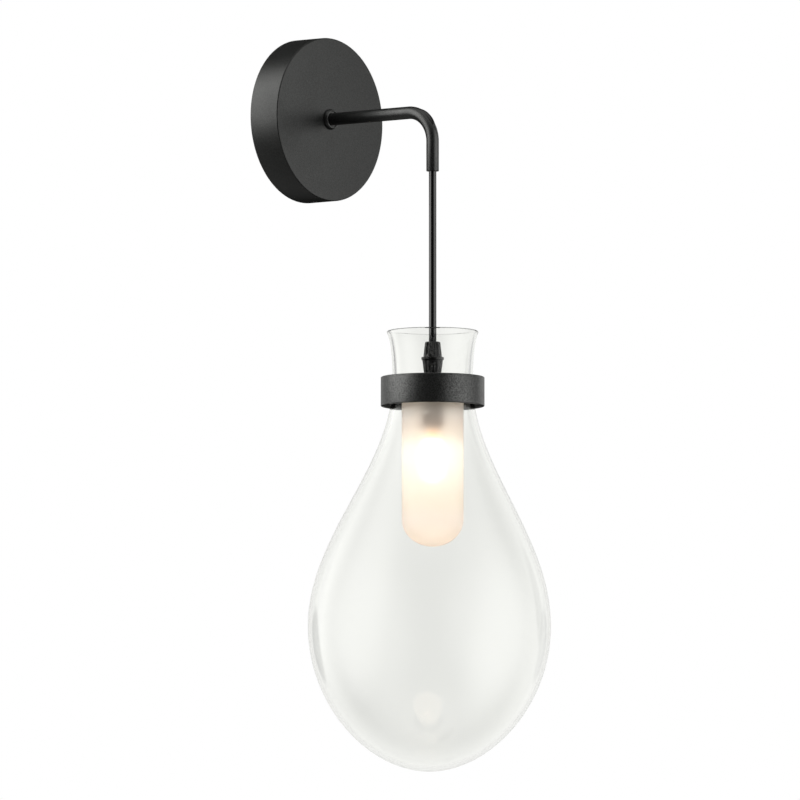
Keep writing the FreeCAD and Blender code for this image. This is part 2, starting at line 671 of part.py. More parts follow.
def glass_shade():
    """The blown shade, with a rounded rim, a thicker waist and three screw holes."""
    lip = RIM_WALL / 2
    outer = glass_side(RIM_R, RIM_Z - lip, WAIST_R, BELLY_R, POLE_Z)
    inner = glass_side(RIM_R - RIM_WALL, RIM_Z - lip, WAIST_BORE_R, BELLY_R - BELLY_WALL, POLE_Z + POLE_WALL)
    rim = Part.Arc(vec(RIM_R - RIM_WALL, 0, RIM_Z - lip), vec(RIM_R - lip, 0, RIM_Z),
                   vec(RIM_R, 0, RIM_Z - lip)).toShape()
    pole = Part.LineSegment(vec(0, 0, POLE_Z), vec(0, 0, POLE_Z + POLE_WALL)).toShape()
    section = Part.Wire(Part.__sortEdges__([rim] + outer + [pole] + inner))
    glass = Part.Face(section).revolve(vec(0, 0, 0), Z, 360)
    hole = Part.makeCylinder(GLASS_HOLE_D / 2, 2 * WAIST_WALL + 4, vec(0, 0, -WAIST_WALL - 2))
    return on_cord_axis(glass).cut(radial(hole, WAIST_R))


def carrier_cup():
    """The turned cup: plate, skirt and three screw bosses, with the grip's hole in the middle."""
    cup = turned([(GRIP_THREAD_D / 2 + FIT, PLATE_FOOT_Z), (CARRIER_BORE_R, PLATE_FOOT_Z),
                  (CARRIER_BORE_R, CARRIER_FOOT_Z), (CARRIER_R, CARRIER_FOOT_Z), (CARRIER_R, PLATE_TOP_Z),
                  (GRIP_THREAD_D / 2 + FIT, PLATE_TOP_Z)])
    edge = [e for e in cup.Edges if len(e.Vertexes) == 1 and abs(e.CenterOfMass.z - PLATE_TOP_Z) < 1e-6
            and e.Curve.Radius > CARRIER_BORE_R]
    cup = on_cord_axis(cup.makeChamfer(CARRIER_WALL / 2, edge))
    boss = Part.makeCylinder(BOSS_D / 2, BOSS_LENGTH + CARRIER_WALL / 2)
    cup = cup.fuse(radial(boss, SCREW_TIP_R))
    hole = Part.makeCylinder(GLASS_SCREW_D / 2 + FIT, BOSS_LENGTH + CARRIER_WALL + 4)
    return cup.cut(radial(hole, SCREW_TIP_R - 2)).removeSplitter()


def washer_foot_r():
    """Radius at which a soft washer clears the glass over its whole height."""
    low = SCREW_Z - SOFT_WASHER_D / 2
    shoulder = glass_side(RIM_R, RIM_Z, WAIST_R, BELLY_R, POLE_Z)[1]
    return max(p.x for p in shoulder.discretize(500) if p.z >= low - 0.5) + FIT


def head_foot_r():
    """Radius at which a screw's head sits on its soft washer."""
    return washer_foot_r() + SOFT_WASHER_THICK


def screw_washers():
    """Three soft washers between the glass and the screw heads."""
    hole = GLASS_SCREW_D / 2 + FIT
    washer = turned([(hole, 0), (SOFT_WASHER_D / 2, 0), (SOFT_WASHER_D / 2, SOFT_WASHER_THICK),
                     (hole, SOFT_WASHER_THICK)])
    return radial(washer, washer_foot_r())


def glass_screws():
    """Three screws with tall round heads, which also carry the ring."""
    head = HEAD_END_R - head_foot_r()
    bar = Part.makeCylinder(SCREW_HEAD_D / 2, head)
    edge = [e for e in bar.Edges if abs(e.CenterOfMass.z - head) < 1e-6]
    bar = bar.makeChamfer(0.4, edge)
    reach = head_foot_r() - SCREW_TIP_R
    shank = Part.makeCylinder(GLASS_SCREW_D / 2, reach, vec(0, 0, -reach))
    recess = socket(SCREW_HEX, SCREW_HEX_DEPTH).translated(vec(0, 0, head))
    return radial(bar.fuse(shank).cut(recess), head_foot_r())


def shade_ring():
    """The band: a straight wall, an inward lip at the top and soft edges."""
    outer = RING_D / 2
    ring = turned([(RING_LIP_BORE_R, RING_LIP_FOOT_Z), (RING_BORE_R, RING_LIP_FOOT_Z),
                   (RING_BORE_R, RING_FOOT_Z), (outer, RING_FOOT_Z), (outer, RING_TOP_Z),
                   (RING_LIP_BORE_R, RING_TOP_Z)])
    edges = [e for e in ring.Edges if len(e.Vertexes) == 1 and abs(e.Curve.Radius - outer) < 1e-6]
    return on_cord_axis(ring.makeFillet(RING_EDGE_R, edges))


# ---------------------------------------------------------------- lamp and frosted tube


def lampholder_bracket():
    """A bent strap: an eye under the carrier plate and a leg down each side of the lampholder."""
    top, inner = STRAP_TOP_Z, STRAP_INNER_X
    outer = inner + STRAP_THICK
    foot = HOLDER_SCREW_Z - STRAP_WIDTH / 2
    plate = Part.makeBox(2 * outer, NUT_AF + 2, STRAP_THICK, vec(-outer, -NUT_AF / 2 - 1, top - STRAP_THICK))
    legs = [Part.makeBox(STRAP_THICK, STRAP_WIDTH, top - foot,
                         vec(inner if side > 0 else -outer, -STRAP_WIDTH / 2, foot)) for side in (1, -1)]
    hole = Part.makeCylinder(GRIP_THREAD_D / 2 + FIT, STRAP_THICK + 2, vec(0, 0, top - STRAP_THICK - 1))
    bolt = Part.makeCylinder(HOLDER_SCREW_D / 2 + FIT, 2 * outer + 2, vec(-outer - 1, 0, HOLDER_SCREW_Z), X)
    return on_cord_axis(plate.fuse(legs).cut([hole, bolt])).removeSplitter()


def lampholder():
    """A ceramic barrel with two open pin slots below, a cross wire hole above and two side dimples."""
    radius = HOLDER_D / 2
    body = turned([(0, HOLDER_FOOT_Z), (radius - HOLDER_CHAMFER, HOLDER_FOOT_Z),
                   (radius, HOLDER_FOOT_Z + HOLDER_CHAMFER), (radius, HOLDER_TOP_Z - HOLDER_CHAMFER),
                   (radius - HOLDER_CHAMFER, HOLDER_TOP_Z), (0, HOLDER_TOP_Z)])
    half = HOLDER_SLOT_LENGTH / 2
    slot = Part.makeBox(HOLDER_SLOT_LENGTH, HOLDER_SLOT_WIDTH, HOLDER_SLOT_DEPTH + 1,
                        vec(-half, -HOLDER_SLOT_WIDTH / 2, HOLDER_FOOT_Z - 1))
    wires = [Part.makeCylinder(CORE_D / 2 + FIT, HOLDER_LENGTH - HOLDER_SLOT_DEPTH + 2,
                               vec(side * PIN_SPACING / 2, 0, HOLDER_FOOT_Z + HOLDER_SLOT_DEPTH - 1))
             for side in (1, -1)]
    bolts = [Part.makeCylinder(HOLDER_SCREW_D / 2 + FIT, 2.5, vec(side * radius, 0, HOLDER_SCREW_Z), X * -side)
             for side in (1, -1)]
    return on_cord_axis(body.cut([slot] + wires + bolts))


def lampholder_screws():
    """Two pan head screws through the strap's legs into the lampholder."""
    head = Part.makeCylinder(HOLDER_SCREW_HEAD_D / 2, HOLDER_SCREW_HEAD)
    edge = [e for e in head.Edges if abs(e.CenterOfMass.z - HOLDER_SCREW_HEAD) < 1e-6]
    head = head.makeFillet(HOLDER_SCREW_HEAD * 0.4, edge)
    reach = STRAP_THICK + FIT + 2.0
    screw = head.fuse(Part.makeCylinder(HOLDER_SCREW_D / 2, reach, vec(0, 0, -reach)))
    out = STRAP_INNER_X + STRAP_THICK
    return [on_cord_axis(facing(screw, X * side, vec(side * out, 0, HOLDER_SCREW_Z))) for side in (1, -1)]


def contact_top_z():
    """Height of the top of the spring contacts, against the slot's roof."""
    return HOLDER_FOOT_Z + HOLDER_SLOT_DEPTH - FIT


def lamp_contacts():
    """Two folded spring strips, one at each end of the pin slot."""
    height = HOLDER_SLOT_DEPTH * 0.72
    top = contact_top_z()
    gap = PIN_WIRE_D + 2 * FIT
    strips = []
    for side in (1, -1):
        x = side * PIN_SPACING / 2 - CONTACT_WIDTH / 2
        leaves = [Part.makeBox(CONTACT_WIDTH, CONTACT_THICK, height, vec(x, y, top - height))
                  for y in (gap / 2, -gap / 2 - CONTACT_THICK)]
        roof = Part.makeBox(CONTACT_WIDTH, gap + 2 * CONTACT_THICK, CONTACT_THICK,
                            vec(x, -gap / 2 - CONTACT_THICK, top - CONTACT_THICK))
        strips.append(on_cord_axis(roof.fuse(leaves).removeSplitter()))
    return strips


def lamp_leads():
    """Two leads from the cord's end, through the grip's tail and down into the lampholder."""
    leads = []
    for side in (1, -1):
        near = side * CORE_D * 0.6
        start = vec(near, 0, CORD_FOOT_Z)
        out = side * PIN_SPACING / 2
        points = [start, vec(near, 0, GRIP_TAIL_Z - CORE_D / 2), vec(out, 0, HOLDER_TOP_Z + CORE_D / 2),
                  vec(out, 0, contact_top_z() + FIT)]
        leads.append(on_cord_axis(swept(route(points, [CORE_D, CORE_D]), CORE_D / 2, start, -Z)))
    return leads


def capsule_foot_z():
    """Height of the lowest point of the lamp's capsule."""
    return HOLDER_FOOT_Z - CAPSULE_LENGTH


def bulb_glass():
    """The lamp's capsule: a thin tube with a round end and a flat pinch at the top."""
    outer, inner = CAPSULE_D / 2, CAPSULE_D / 2 - CAPSULE_WALL
    foot, pinch_foot = capsule_foot_z(), HOLDER_FOOT_Z - PINCH_LENGTH
    bulb = Part.makeCylinder(outer, pinch_foot - foot - outer, vec(0, 0, foot + outer))
    bulb = bulb.fuse(Part.makeSphere(outer, vec(0, 0, foot + outer))).removeSplitter()
    shoulder = Part.makeCone(outer, PINCH_THICK / 2, outer * 0.5, vec(0, 0, pinch_foot))
    pinch = Part.makeBox(PINCH_WIDTH, PINCH_THICK, PINCH_LENGTH + 2 * SEAT,
                         vec(-PINCH_WIDTH / 2, -PINCH_THICK / 2, pinch_foot))
    room = Part.makeCylinder(inner, pinch_foot - foot - outer - 1, vec(0, 0, foot + outer))
    room = room.fuse(Part.makeSphere(inner, vec(0, 0, foot + outer))).removeSplitter()
    return on_cord_axis(bulb.fuse([shoulder, pinch]).removeSplitter().cut(room))


def bulb_pins():
    """Two wire loops that stand out of the pinch into the spring contacts."""
    low = HOLDER_FOOT_Z + 2 * SEAT
    pins = []
    for side in (1, -1):
        x = side * PIN_SPACING / 2
        a, b = vec(x - PIN_LOOP_R, 0, low), vec(x + PIN_LOOP_R, 0, low)
        high = low + PIN_LENGTH - PIN_LOOP_R
        path = Part.Wire([
            Part.LineSegment(a, vec(a.x, 0, high)).toShape(),
            Part.Arc(vec(a.x, 0, high), vec(x, 0, high + PIN_LOOP_R), vec(b.x, 0, high)).toShape(),
            Part.LineSegment(vec(b.x, 0, high), b).toShape()])
        pins.append(on_cord_axis(swept(path, PIN_WIRE_D / 2, a, Z)))
    return pins


def bulb_filament():
    """The upright filament with a lead wire at each end, inside the capsule."""
    low = capsule_foot_z() + FILAMENT_ABOVE_END
    high = low + FILAMENT_LENGTH
    roof = HOLDER_FOOT_Z - PINCH_LENGTH - 1
    side = CAPSULE_D / 4
    coil = Part.makeCylinder(FILAMENT_D / 2, FILAMENT_LENGTH, vec(0, 0, low))
    feed = Part.makeCylinder(LEAD_WIRE_D / 2, roof - high, vec(0, 0, high))
    post = Part.makeCylinder(LEAD_WIRE_D / 2, roof - low + LEAD_WIRE_D / 2, vec(side, 0, low - LEAD_WIRE_D / 2))
    foot = Part.makeCylinder(LEAD_WIRE_D / 2, side, vec(0, 0, low), X)
    return on_cord_axis(coil.fuse([feed, post, foot]).removeSplitter())


def diffuser():
    """The frosted tube: a lip at the top, a straight side and a flattened round end."""
    outer, wall = DIFFUSER_D / 2, DIFFUSER_WALL
    inner, lip = outer - wall, DIFFUSER_LIP_D / 2
    top, foot = DIFFUSER_TOP_Z, DIFFUSER_FOOT_Z
    turn = foot + DIFFUSER_END
    ends = [bezier([(r, turn), (r, turn - ROUND * (turn - z)), (ROUND * r, z), (0, z)])
            for r, z in ((outer, foot), (inner, foot + wall))]
    corners = [vec(inner, 0, turn), vec(inner, 0, top), vec(lip, 0, top), vec(lip, 0, LIP_FOOT_Z),
               vec(outer, 0, LIP_FOOT_Z), vec(outer, 0, turn)]
    lines = [Part.LineSegment(a, b).toShape() for a, b in zip(corners, corners[1:])]
    lines.append(Part.LineSegment(vec(0, 0, foot), vec(0, 0, foot + wall)).toShape())
    section = Part.Wire(Part.__sortEdges__(lines + ends))
    return on_cord_axis(Part.Face(section).revolve(vec(0, 0, 0), Z, 360))


def diffuser_gasket():
    """The soft ring between the bosses and the diffuser's lip."""
    return tube(CARRIER_BORE_R - FIT, DIFFUSER_D / 2 - DIFFUSER_WALL, DIFFUSER_TOP_Z, GASKET_TOP_Z)


def diffuser_retainer():
    """The threaded ring under the lip, with four key slots."""
    high = LIP_FOOT_Z
    low = high - RETAINER_RING_HEIGHT
    inner, outer = DIFFUSER_D / 2 + FIT, CARRIER_BORE_R - FIT / 2
    ring = turned([(inner, low), (outer, low), (outer, high), (inner, high)])
    key = Part.makeBox(outer, 2.0, 1.5, vec(inner / 2, -1.0, low))
    return on_cord_axis(ring.cut(round_the_axis(key, 4, 45.0)))


# ---------------------------------------------------------------- the parts

NODES = {
    "wall_bracket": wall_bracket,
    "earth_screw": earth_screw,
    "terminal_block": terminal_block,
    "terminal_screws": terminal_screws,
    "canopy": canopy,
    "canopy_screws": canopy_screws,
    "arm_tube": arm_tube,
    "arm_collar": arm_collar,
    "arm_washer": arm_washer,
    "arm_locknut": arm_locknut,
    "arm_liner": arm_liner,
    "cord_retainer": cord_retainer,
    "retainer_screw": retainer_screw,
    "cord_in_arm": cord_in_arm,
    "canopy_cores": canopy_cores,
    "cord_flex": cord_flex,
    "hanging_cord": hanging_cord,
    "grip_cap": grip_cap,
    "grip_collet": grip_collet,
    "grip_body": grip_body,
    "grip_locknut": grip_locknut,
    "carrier_cup": carrier_cup,
    "glass_screws": glass_screws,
    "screw_washers": screw_washers,
    "glass_shade": glass_shade,
    "shade_ring": shade_ring,
    "lampholder_bracket": lampholder_bracket,
    "lampholder_screws": lampholder_screws,
    "lampholder": lampholder,
    "lamp_contacts": lamp_contacts,
    "lamp_leads": lamp_leads,
    "diffuser": diffuser,
    "diffuser_gasket": diffuser_gasket,
    "diffuser_retainer": diffuser_retainer,
    "bulb_glass": bulb_glass,
    "bulb_pins": bulb_pins,
    "bulb_filament": bulb_filament,
}


def main():
    """Builds every sub-part and writes one STEP file for each."""
    os.makedirs("parts", exist_ok=True)
    for name, make in NODES.items():
        made = make()
        shape = Part.Compound(made) if isinstance(made, list) else made
        wanted = len(made) if isinstance(made, list) else 1
        assert shape.isValid() and len(shape.Solids) == wanted, (name, shape.isValid(), len(shape.Solids))
        if wanted == 1:
            shape = shape.Solids[0]
        shape.exportStep("parts/%s.step" % name)
    print("cord joint at z = %.2f, cord axis at y = %.1f" % (PIVOT_Z, -ARM_REACH))


main()
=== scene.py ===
"""A hanging pendant wall sconce: black canopy, bent arm, cord, and a clear glass teardrop round a lit tube.

Everything is in metres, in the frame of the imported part: the wall is the plane Y = 0, +Z is up, and
the arm reaches out towards -Y. The glass, the ring, the grip and the lamp share the cord's axis.
"""

from __future__ import annotations

import json
import logging
import math
from dataclasses import dataclass, field
from enum import Enum

import bpy
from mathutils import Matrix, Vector

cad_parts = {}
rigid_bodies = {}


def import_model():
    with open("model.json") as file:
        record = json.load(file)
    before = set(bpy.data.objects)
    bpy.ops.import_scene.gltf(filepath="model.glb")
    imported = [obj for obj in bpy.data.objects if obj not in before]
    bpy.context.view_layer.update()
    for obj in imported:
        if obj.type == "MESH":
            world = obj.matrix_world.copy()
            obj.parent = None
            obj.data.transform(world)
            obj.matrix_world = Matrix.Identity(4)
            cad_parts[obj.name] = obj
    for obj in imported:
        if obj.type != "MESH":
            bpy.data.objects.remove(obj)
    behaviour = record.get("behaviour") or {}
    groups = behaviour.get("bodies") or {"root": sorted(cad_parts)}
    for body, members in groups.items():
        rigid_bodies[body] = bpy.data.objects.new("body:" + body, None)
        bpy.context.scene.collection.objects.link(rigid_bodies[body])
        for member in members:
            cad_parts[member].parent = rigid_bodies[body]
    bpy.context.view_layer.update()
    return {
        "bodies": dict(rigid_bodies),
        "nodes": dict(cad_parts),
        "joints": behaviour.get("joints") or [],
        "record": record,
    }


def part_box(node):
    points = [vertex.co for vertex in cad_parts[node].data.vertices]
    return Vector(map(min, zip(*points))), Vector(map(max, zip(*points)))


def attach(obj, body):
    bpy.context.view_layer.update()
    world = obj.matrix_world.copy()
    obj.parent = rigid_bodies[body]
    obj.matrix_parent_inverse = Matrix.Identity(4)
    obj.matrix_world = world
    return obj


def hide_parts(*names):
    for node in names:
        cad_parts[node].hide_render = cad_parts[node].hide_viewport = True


LOG = logging.getLogger("sconce")
MM = 0.001
Outline = list[tuple[float, float]]
Colour = tuple[float, float, float]
Socket = bpy.types.NodeSocket


class Axis(Enum):
    """The axis that a turned piece is spun about."""

    UP = (0.0, 0.0, 1.0)
    OUT = (0.0, 1.0, 0.0)


# ------------------------------------------------------------------ modelling helpers


def deselect() -> None:
    """Leaves nothing selected, out of edit mode."""
    if bpy.context.object and bpy.context.object.mode != "OBJECT":
        bpy.ops.object.mode_set(mode="OBJECT")
    bpy.ops.object.select_all(action="DESELECT")


def select_only(piece: bpy.types.Object) -> None:
    """Selects one object and makes it active.

    Args:
        piece: The object.
    """
    deselect()
    piece.select_set(True)
    bpy.context.view_layer.objects.active = piece


def apply_modifiers(piece: bpy.types.Object) -> None:
    """Applies every modifier of a piece, in order.

    Args:
        piece: The piece, which keeps none of them.
    """
    select_only(piece)
    for modifier in list(piece.modifiers):
        bpy.ops.object.modifier_apply(modifier=modifier.name)


def smooth(piece: bpy.types.Object, degrees: float = 32.0) -> None:
    """Shades a piece smooth, apart from edges sharper than an angle."""
    select_only(piece)
    bpy.ops.object.shade_smooth_by_angle(angle=math.radians(degrees))


def settle(piece: bpy.types.Object) -> None:
    """Puts a piece's place, turn and size into its mesh."""
    select_only(piece)
    bpy.ops.object.transform_apply(location=True, rotation=True, scale=True)


def rounded(corners: Outline, radii: list[float], steps: int = 5) -> Outline:
    """Rounds the corners of an outline.

    Args:
        corners: The outline's corners, as (radius, height).
        radii: The rounding of each corner, 0 for a sharp one.
        steps: Points along each rounding.

    Returns:
        The outline with its roundings.
    """
    points: Outline = []
    count = len(corners)
    for i, (corner, radius) in enumerate(zip(corners, radii)):
        here = Vector(corner)
        if radius <= 0:
            points.append(corner)
            continue
        back = (Vector(corners[i - 1]) - here).normalized()
        ahead = (Vector(corners[(i + 1) % count]) - here).normalized()
        half = back.angle(ahead) / 2
        centre = here + (back + ahead).normalized() * (radius / math.sin(half))
        start = here + back * (radius / math.tan(half)) - centre
        stop = here + ahead * (radius / math.tan(half)) - centre
        for step in range(steps + 1):
            spot = centre + start.slerp(stop, step / steps) * radius
            points.append((spot.x, spot.y))
    return points


def curve_points(poles: list[tuple[float, float]], count: int) -> Outline:
    """Points along a smooth curve of four poles, without the last one.

    Args:
        poles: The four poles, as (radius, height).
        count: How many points to give.

    Returns:
        The points, from the first pole on.
    """
    a, b, c, d = (Vector(p) for p in poles)
    points = []
    for i in range(count):
        t = i / count
        spot = a * (1 - t) ** 3 + b * 3 * t * (1 - t) ** 2 + c * 3 * t * t * (1 - t) + d * t ** 3
        points.append((spot.x, spot.y))
    return points


def lathe(name: str, outline: Outline, centre: Vector, axis: Axis = Axis.UP,
          steps: int = 128) -> bpy.types.Object:
    """Turns a closed outline about an axis, by extruding its corners one by one and spinning them.

    Args:
        name: The piece's name.
        outline: Corners as (radius, height along the axis), in metres.
        centre: A point on the axis.
        axis: The axis to spin about.
        steps: Segments of the full turn.

    Returns:
        The turned piece, with its place in its mesh.
    """
    up = Vector(axis.value)
    side = Vector((1.0, 0.0, 0.0))
    places = [centre + side * r + up * h for r, h in outline]
    deselect()
    bpy.ops.mesh.primitive_plane_add(size=MM)
    piece = bpy.context.object
    piece.name = name
    bpy.ops.object.mode_set(mode="EDIT")
    bpy.ops.mesh.select_all(action="SELECT")
    bpy.ops.mesh.merge(type="CENTER")
    bpy.ops.transform.translate(value=places[0])
    closing = [] if outline[0][0] < 1e-9 and outline[-1][0] < 1e-9 else places[:1]
    for here, there in zip(places, places[1:] + closing):
        bpy.ops.mesh.extrude_vertices_move(TRANSFORM_OT_translate={"value": there - here})
    bpy.ops.mesh.select_all(action="SELECT")
    bpy.ops.mesh.remove_doubles(threshold=1e-7)
    bpy.ops.mesh.select_all(action="SELECT")
    bpy.ops.mesh.spin(steps=steps, angle=math.tau, center=centre, axis=up)
    bpy.ops.mesh.select_all(action="SELECT")
    bpy.ops.mesh.remove_doubles(threshold=2e-7)
    bpy.ops.mesh.normals_make_consistent(inside=False)
    bpy.ops.object.mode_set(mode="OBJECT")
    smooth(piece)
    return piece


# ------------------------------------------------------------------ materials


class Shader:
    """A node material under construction, with its Principled shader and Object coordinates."""

    def __init__(self, name: str) -> None:
        """Starts a material with a bare Principled shader."""
        self.material = bpy.data.materials.new(name)
        self.material.use_nodes = True
        self.tree = self.material.node_tree
        self.bsdf = self.tree.nodes["Principled BSDF"]
        self.coords = self.tree.nodes.new("ShaderNodeTexCoord")

    def set(self, **values: float | Colour) -> None:
        """Sets sockets of the Principled shader.

        Args:
            values: Numbers or colours by socket name, with underscores for spaces.
        """
        for key, value in values.items():
            if isinstance(value, tuple) and len(value) == 3:
                value = (*value, 1.0)
            self.bsdf.inputs[key.replace("_", " ")].default_value = value

    def link(self, start: Socket, end: Socket) -> None:
        """Joins two sockets."""
        self.tree.links.new(start, end)

    def noise(self, scale: float, detail: float = 3.0,
              stretch: tuple[float, float, float] = (1, 1, 1)) -> Socket:
        """A noise pattern on the piece.

        Args:
            scale: Its scale, per metre.
            detail: Its octaves.
            stretch: A stretch along each axis.

        Returns:
            The noise's factor.
        """
        mapping = self.tree.nodes.new("ShaderNodeMapping")
        mapping.inputs["Scale"].default_value = stretch
        self.link(self.coords.outputs["Object"], mapping.inputs["Vector"])
        node = self.tree.nodes.new("ShaderNodeTexNoise")
        node.inputs["Scale"].default_value = scale
        node.inputs["Detail"].default_value = detail
        self.link(mapping.outputs["Vector"], node.inputs["Vector"])
        return node.outputs["Fac"]

    def ranged(self, value: Socket, low: float, high: float, from_low: float = 0.3,
               from_high: float = 0.7) -> Socket:
        """Maps a factor onto a range.

        Args:
            value: The factor.
            low: What from_low becomes.
            high: What from_high becomes.
            from_low: The factor's lower end.
            from_high: The factor's upper end.

        Returns:
            The mapped value.
        """
        node = self.tree.nodes.new("ShaderNodeMapRange")
        node.inputs["From Min"].default_value = from_low
        node.inputs["From Max"].default_value = from_high
        node.inputs["To Min"].default_value = low
        node.inputs["To Max"].default_value = high
        self.link(value, node.inputs["Value"])
        return node.outputs["Result"]

    def ramp(self, value: Socket, stops: list[tuple[float, Colour]]) -> Socket:
        """Colours a factor with a ramp.

        Args:
            value: The factor.
            stops: Places along the ramp, with their colours.

        Returns:
            The ramp's colour.
        """
        node = self.tree.nodes.new("ShaderNodeValToRGB")
        elements = node.color_ramp.elements
        while len(elements) < len(stops):
            elements.new(0.5)
        for element, (place, colour) in zip(elements, stops):
            element.position = place
            element.color = (*colour, 1.0)
        self.link(value, node.inputs["Fac"])
        return node.outputs["Color"]

    def bump(self, height: Socket, strength: float, distance: float) -> None:
        """Adds a bump, over any bump that is there already.

        Args:
            height: The height pattern.
            strength: How much of it shows.
            distance: Its depth in metres.
        """
        node = self.tree.nodes.new("ShaderNodeBump")
        node.inputs["Strength"].default_value = strength
        node.inputs["Distance"].default_value = distance
        self.link(height, node.inputs["Height"])
        before = self.bsdf.inputs["Normal"].links
        if before:
            self.link(before[0].from_socket, node.inputs["Normal"])
        self.link(node.outputs["Normal"], self.bsdf.inputs["Normal"])

    def along(self, axis: str, low: float, high: float) -> Socket:
        """A factor that runs from 0 to 1 between two places on an axis of the Object coordinates.

        Args:
            axis: X, Y or Z.
            low: Where it is 0, in metres.
            high: Where it is 1, in metres.

        Returns:
            The factor.
        """
        split = self.tree.nodes.new("ShaderNodeSeparateXYZ")
        self.link(self.coords.outputs["Object"], split.inputs["Vector"])
        return self.ranged(split.outputs[axis], 0.0, 1.0, low, high)


@dataclass(frozen=True)
class PowderCoat:
    """Satin black powder coat: a dark pigment with a fine, even grain that glints in specks."""

    name: str = "powder_coat_black"
    dark: Colour = (0.0036, 0.0039, 0.0036)
    light: Colour = (0.0130, 0.0136, 0.0130)
    roughness: float = 0.36
    specular: float = 0.5
    grain_per_m: float = 1150.0
    grain_height: float = 0.00020
    speckle: float = 0.4
    pigment_per_m: float = 1300.0
    waves_per_m: float = 130.0

    def build(self) -> bpy.types.Material:
        """Builds the material.

        Returns:
            The material.
        """
        shader = Shader(self.name)
        pigment = shader.noise(self.pigment_per_m, 2.0)
        shader.link(shader.ramp(pigment, [(0.38, self.dark), (0.62, self.light)]),
                    shader.bsdf.inputs["Base Color"])
        shader.link(shader.ranged(shader.noise(60.0), self.roughness - 0.03, self.roughness + 0.04),
                    shader.bsdf.inputs["Roughness"])
        shader.link(shader.ranged(shader.noise(self.grain_per_m, 1.0), self.specular * (1 - self.speckle),
                                  self.specular * (1 + self.speckle), 0.4, 0.6),
                    shader.bsdf.inputs["Specular IOR Level"])
        shader.set(IOR=1.5)
        shader.bump(shader.noise(self.grain_per_m, 2.0), 0.8, self.grain_height)
        shader.bump(shader.noise(self.waves_per_m, 1.0), 0.05, 0.0004)
        return shader.material


@dataclass(frozen=True)
class MouldedPlastic:
    """A moulded plastic or rubber, matt or glossy, with a faint flow texture."""

    name: str
    colour: Colour
    roughness: float
    texture: float = 0.0001

    def build(self) -> bpy.types.Material:
        """Builds the material.

        Returns:
            The material.
        """
        shader = Shader(self.name)
        bright = tuple(min(1.0, c * 1.25 + 0.002) for c in self.colour)
        shader.link(shader.ramp(shader.noise(400.0), [(0.3, self.colour), (0.75, bright)]),
                    shader.bsdf.inputs["Base Color"])
        shader.link(shader.ranged(shader.noise(220.0), self.roughness - 0.04, self.roughness + 0.06),
                    shader.bsdf.inputs["Roughness"])
        shader.set(IOR=1.47)
        shader.bump(shader.noise(900.0, 2.0), 0.3, self.texture)
        return shader.material


@dataclass(frozen=True)
class Metal:
    """A bare or plated metal with fine marks."""

    name: str
    colour: Colour
    roughness: float
    marks: tuple[float, float, float] = (1.0, 1.0, 6.0)

    def build(self) -> bpy.types.Material:
        """Builds the material.

        Returns:
            The material.
        """
        shader = Shader(self.name)
        dull = tuple(c * 0.78 for c in self.colour)
        shader.link(shader.ramp(shader.noise(320.0, 4.0, self.marks), [(0.3, dull), (0.7, self.colour)]),
                    shader.bsdf.inputs["Base Color"])
        shader.link(shader.ranged(shader.noise(500.0, 3.0, self.marks), self.roughness - 0.06,
                                  self.roughness + 0.08), shader.bsdf.inputs["Roughness"])
        shader.set(Metallic=1.0)
        shader.bump(shader.noise(1400.0, 2.0, self.marks), 0.2, 0.00005)
        return shader.material


@dataclass(frozen=True)
class ShadedCeramic:
    """Unglazed steatite with fine specks, coloured dark grey as painted shade: the holder's shade as it shows
    through the frosted tube.
    """

    name: str = "steatite"
    # Painted shade: this dark grey makes the holder read as a dark patch through the frosted tube.
    colour: Colour = (0.10, 0.095, 0.09)

    def build(self) -> bpy.types.Material:
        """Builds the material.

        Returns:
            The material.
        """
        shader = Shader(self.name)
        speck = tuple(c * 0.86 for c in self.colour)
        shader.link(shader.ramp(shader.noise(1300.0, 4.0), [(0.32, speck), (0.5, self.colour)]),
                    shader.bsdf.inputs["Base Color"])
        shader.link(shader.ranged(shader.noise(200.0), 0.5, 0.62), shader.bsdf.inputs["Roughness"])
        shader.bump(shader.noise(1100.0, 3.0), 0.25, 0.00008)
        return shader.material


@dataclass(frozen=True)
class WireCores:
    """Insulated cores, coloured by which side of the cable's axis they lie on."""

    name: str
    colours: tuple[Colour, ...]
    spread: float

    def build(self) -> bpy.types.Material:
        """Builds the material.

        Returns:
            The material.
        """
        shader = Shader(self.name)
        count = len(self.colours)
        stops = [(i / count, colour) for i, colour in enumerate(self.colours)]
        colours = shader.ramp(shader.along("X", -self.spread, self.spread), stops)
        colours.node.color_ramp.interpolation = "CONSTANT"
        shader.link(colours, shader.bsdf.inputs["Base Color"])
        shader.link(shader.ranged(shader.noise(300.0), 0.3, 0.42), shader.bsdf.inputs["Roughness"])
        shader.bump(shader.noise(700.0, 2.0), 0.15, 0.00005)
        return shader.material


@dataclass(frozen=True)
class BlownGlass:
    """Clear glass with a faint tint, and waves as hand blowing leaves."""

    name: str
    tint: Colour = (0.986, 0.990, 0.981)
    wave: float = 0.00008
    roughness: float = 0.0
    ior: float = 1.48

    def build(self) -> bpy.types.Material:
        """Builds the material.

        Returns:
            The material.
        """
        shader = Shader(self.name)
        shader.set(Base_Color=self.tint, Roughness=self.roughness, IOR=self.ior, Transmission_Weight=1.0)
        shader.bump(shader.noise(16.0, 1.0, (1.0, 1.0, 0.55)), 0.25, self.wave)
        return shader.material


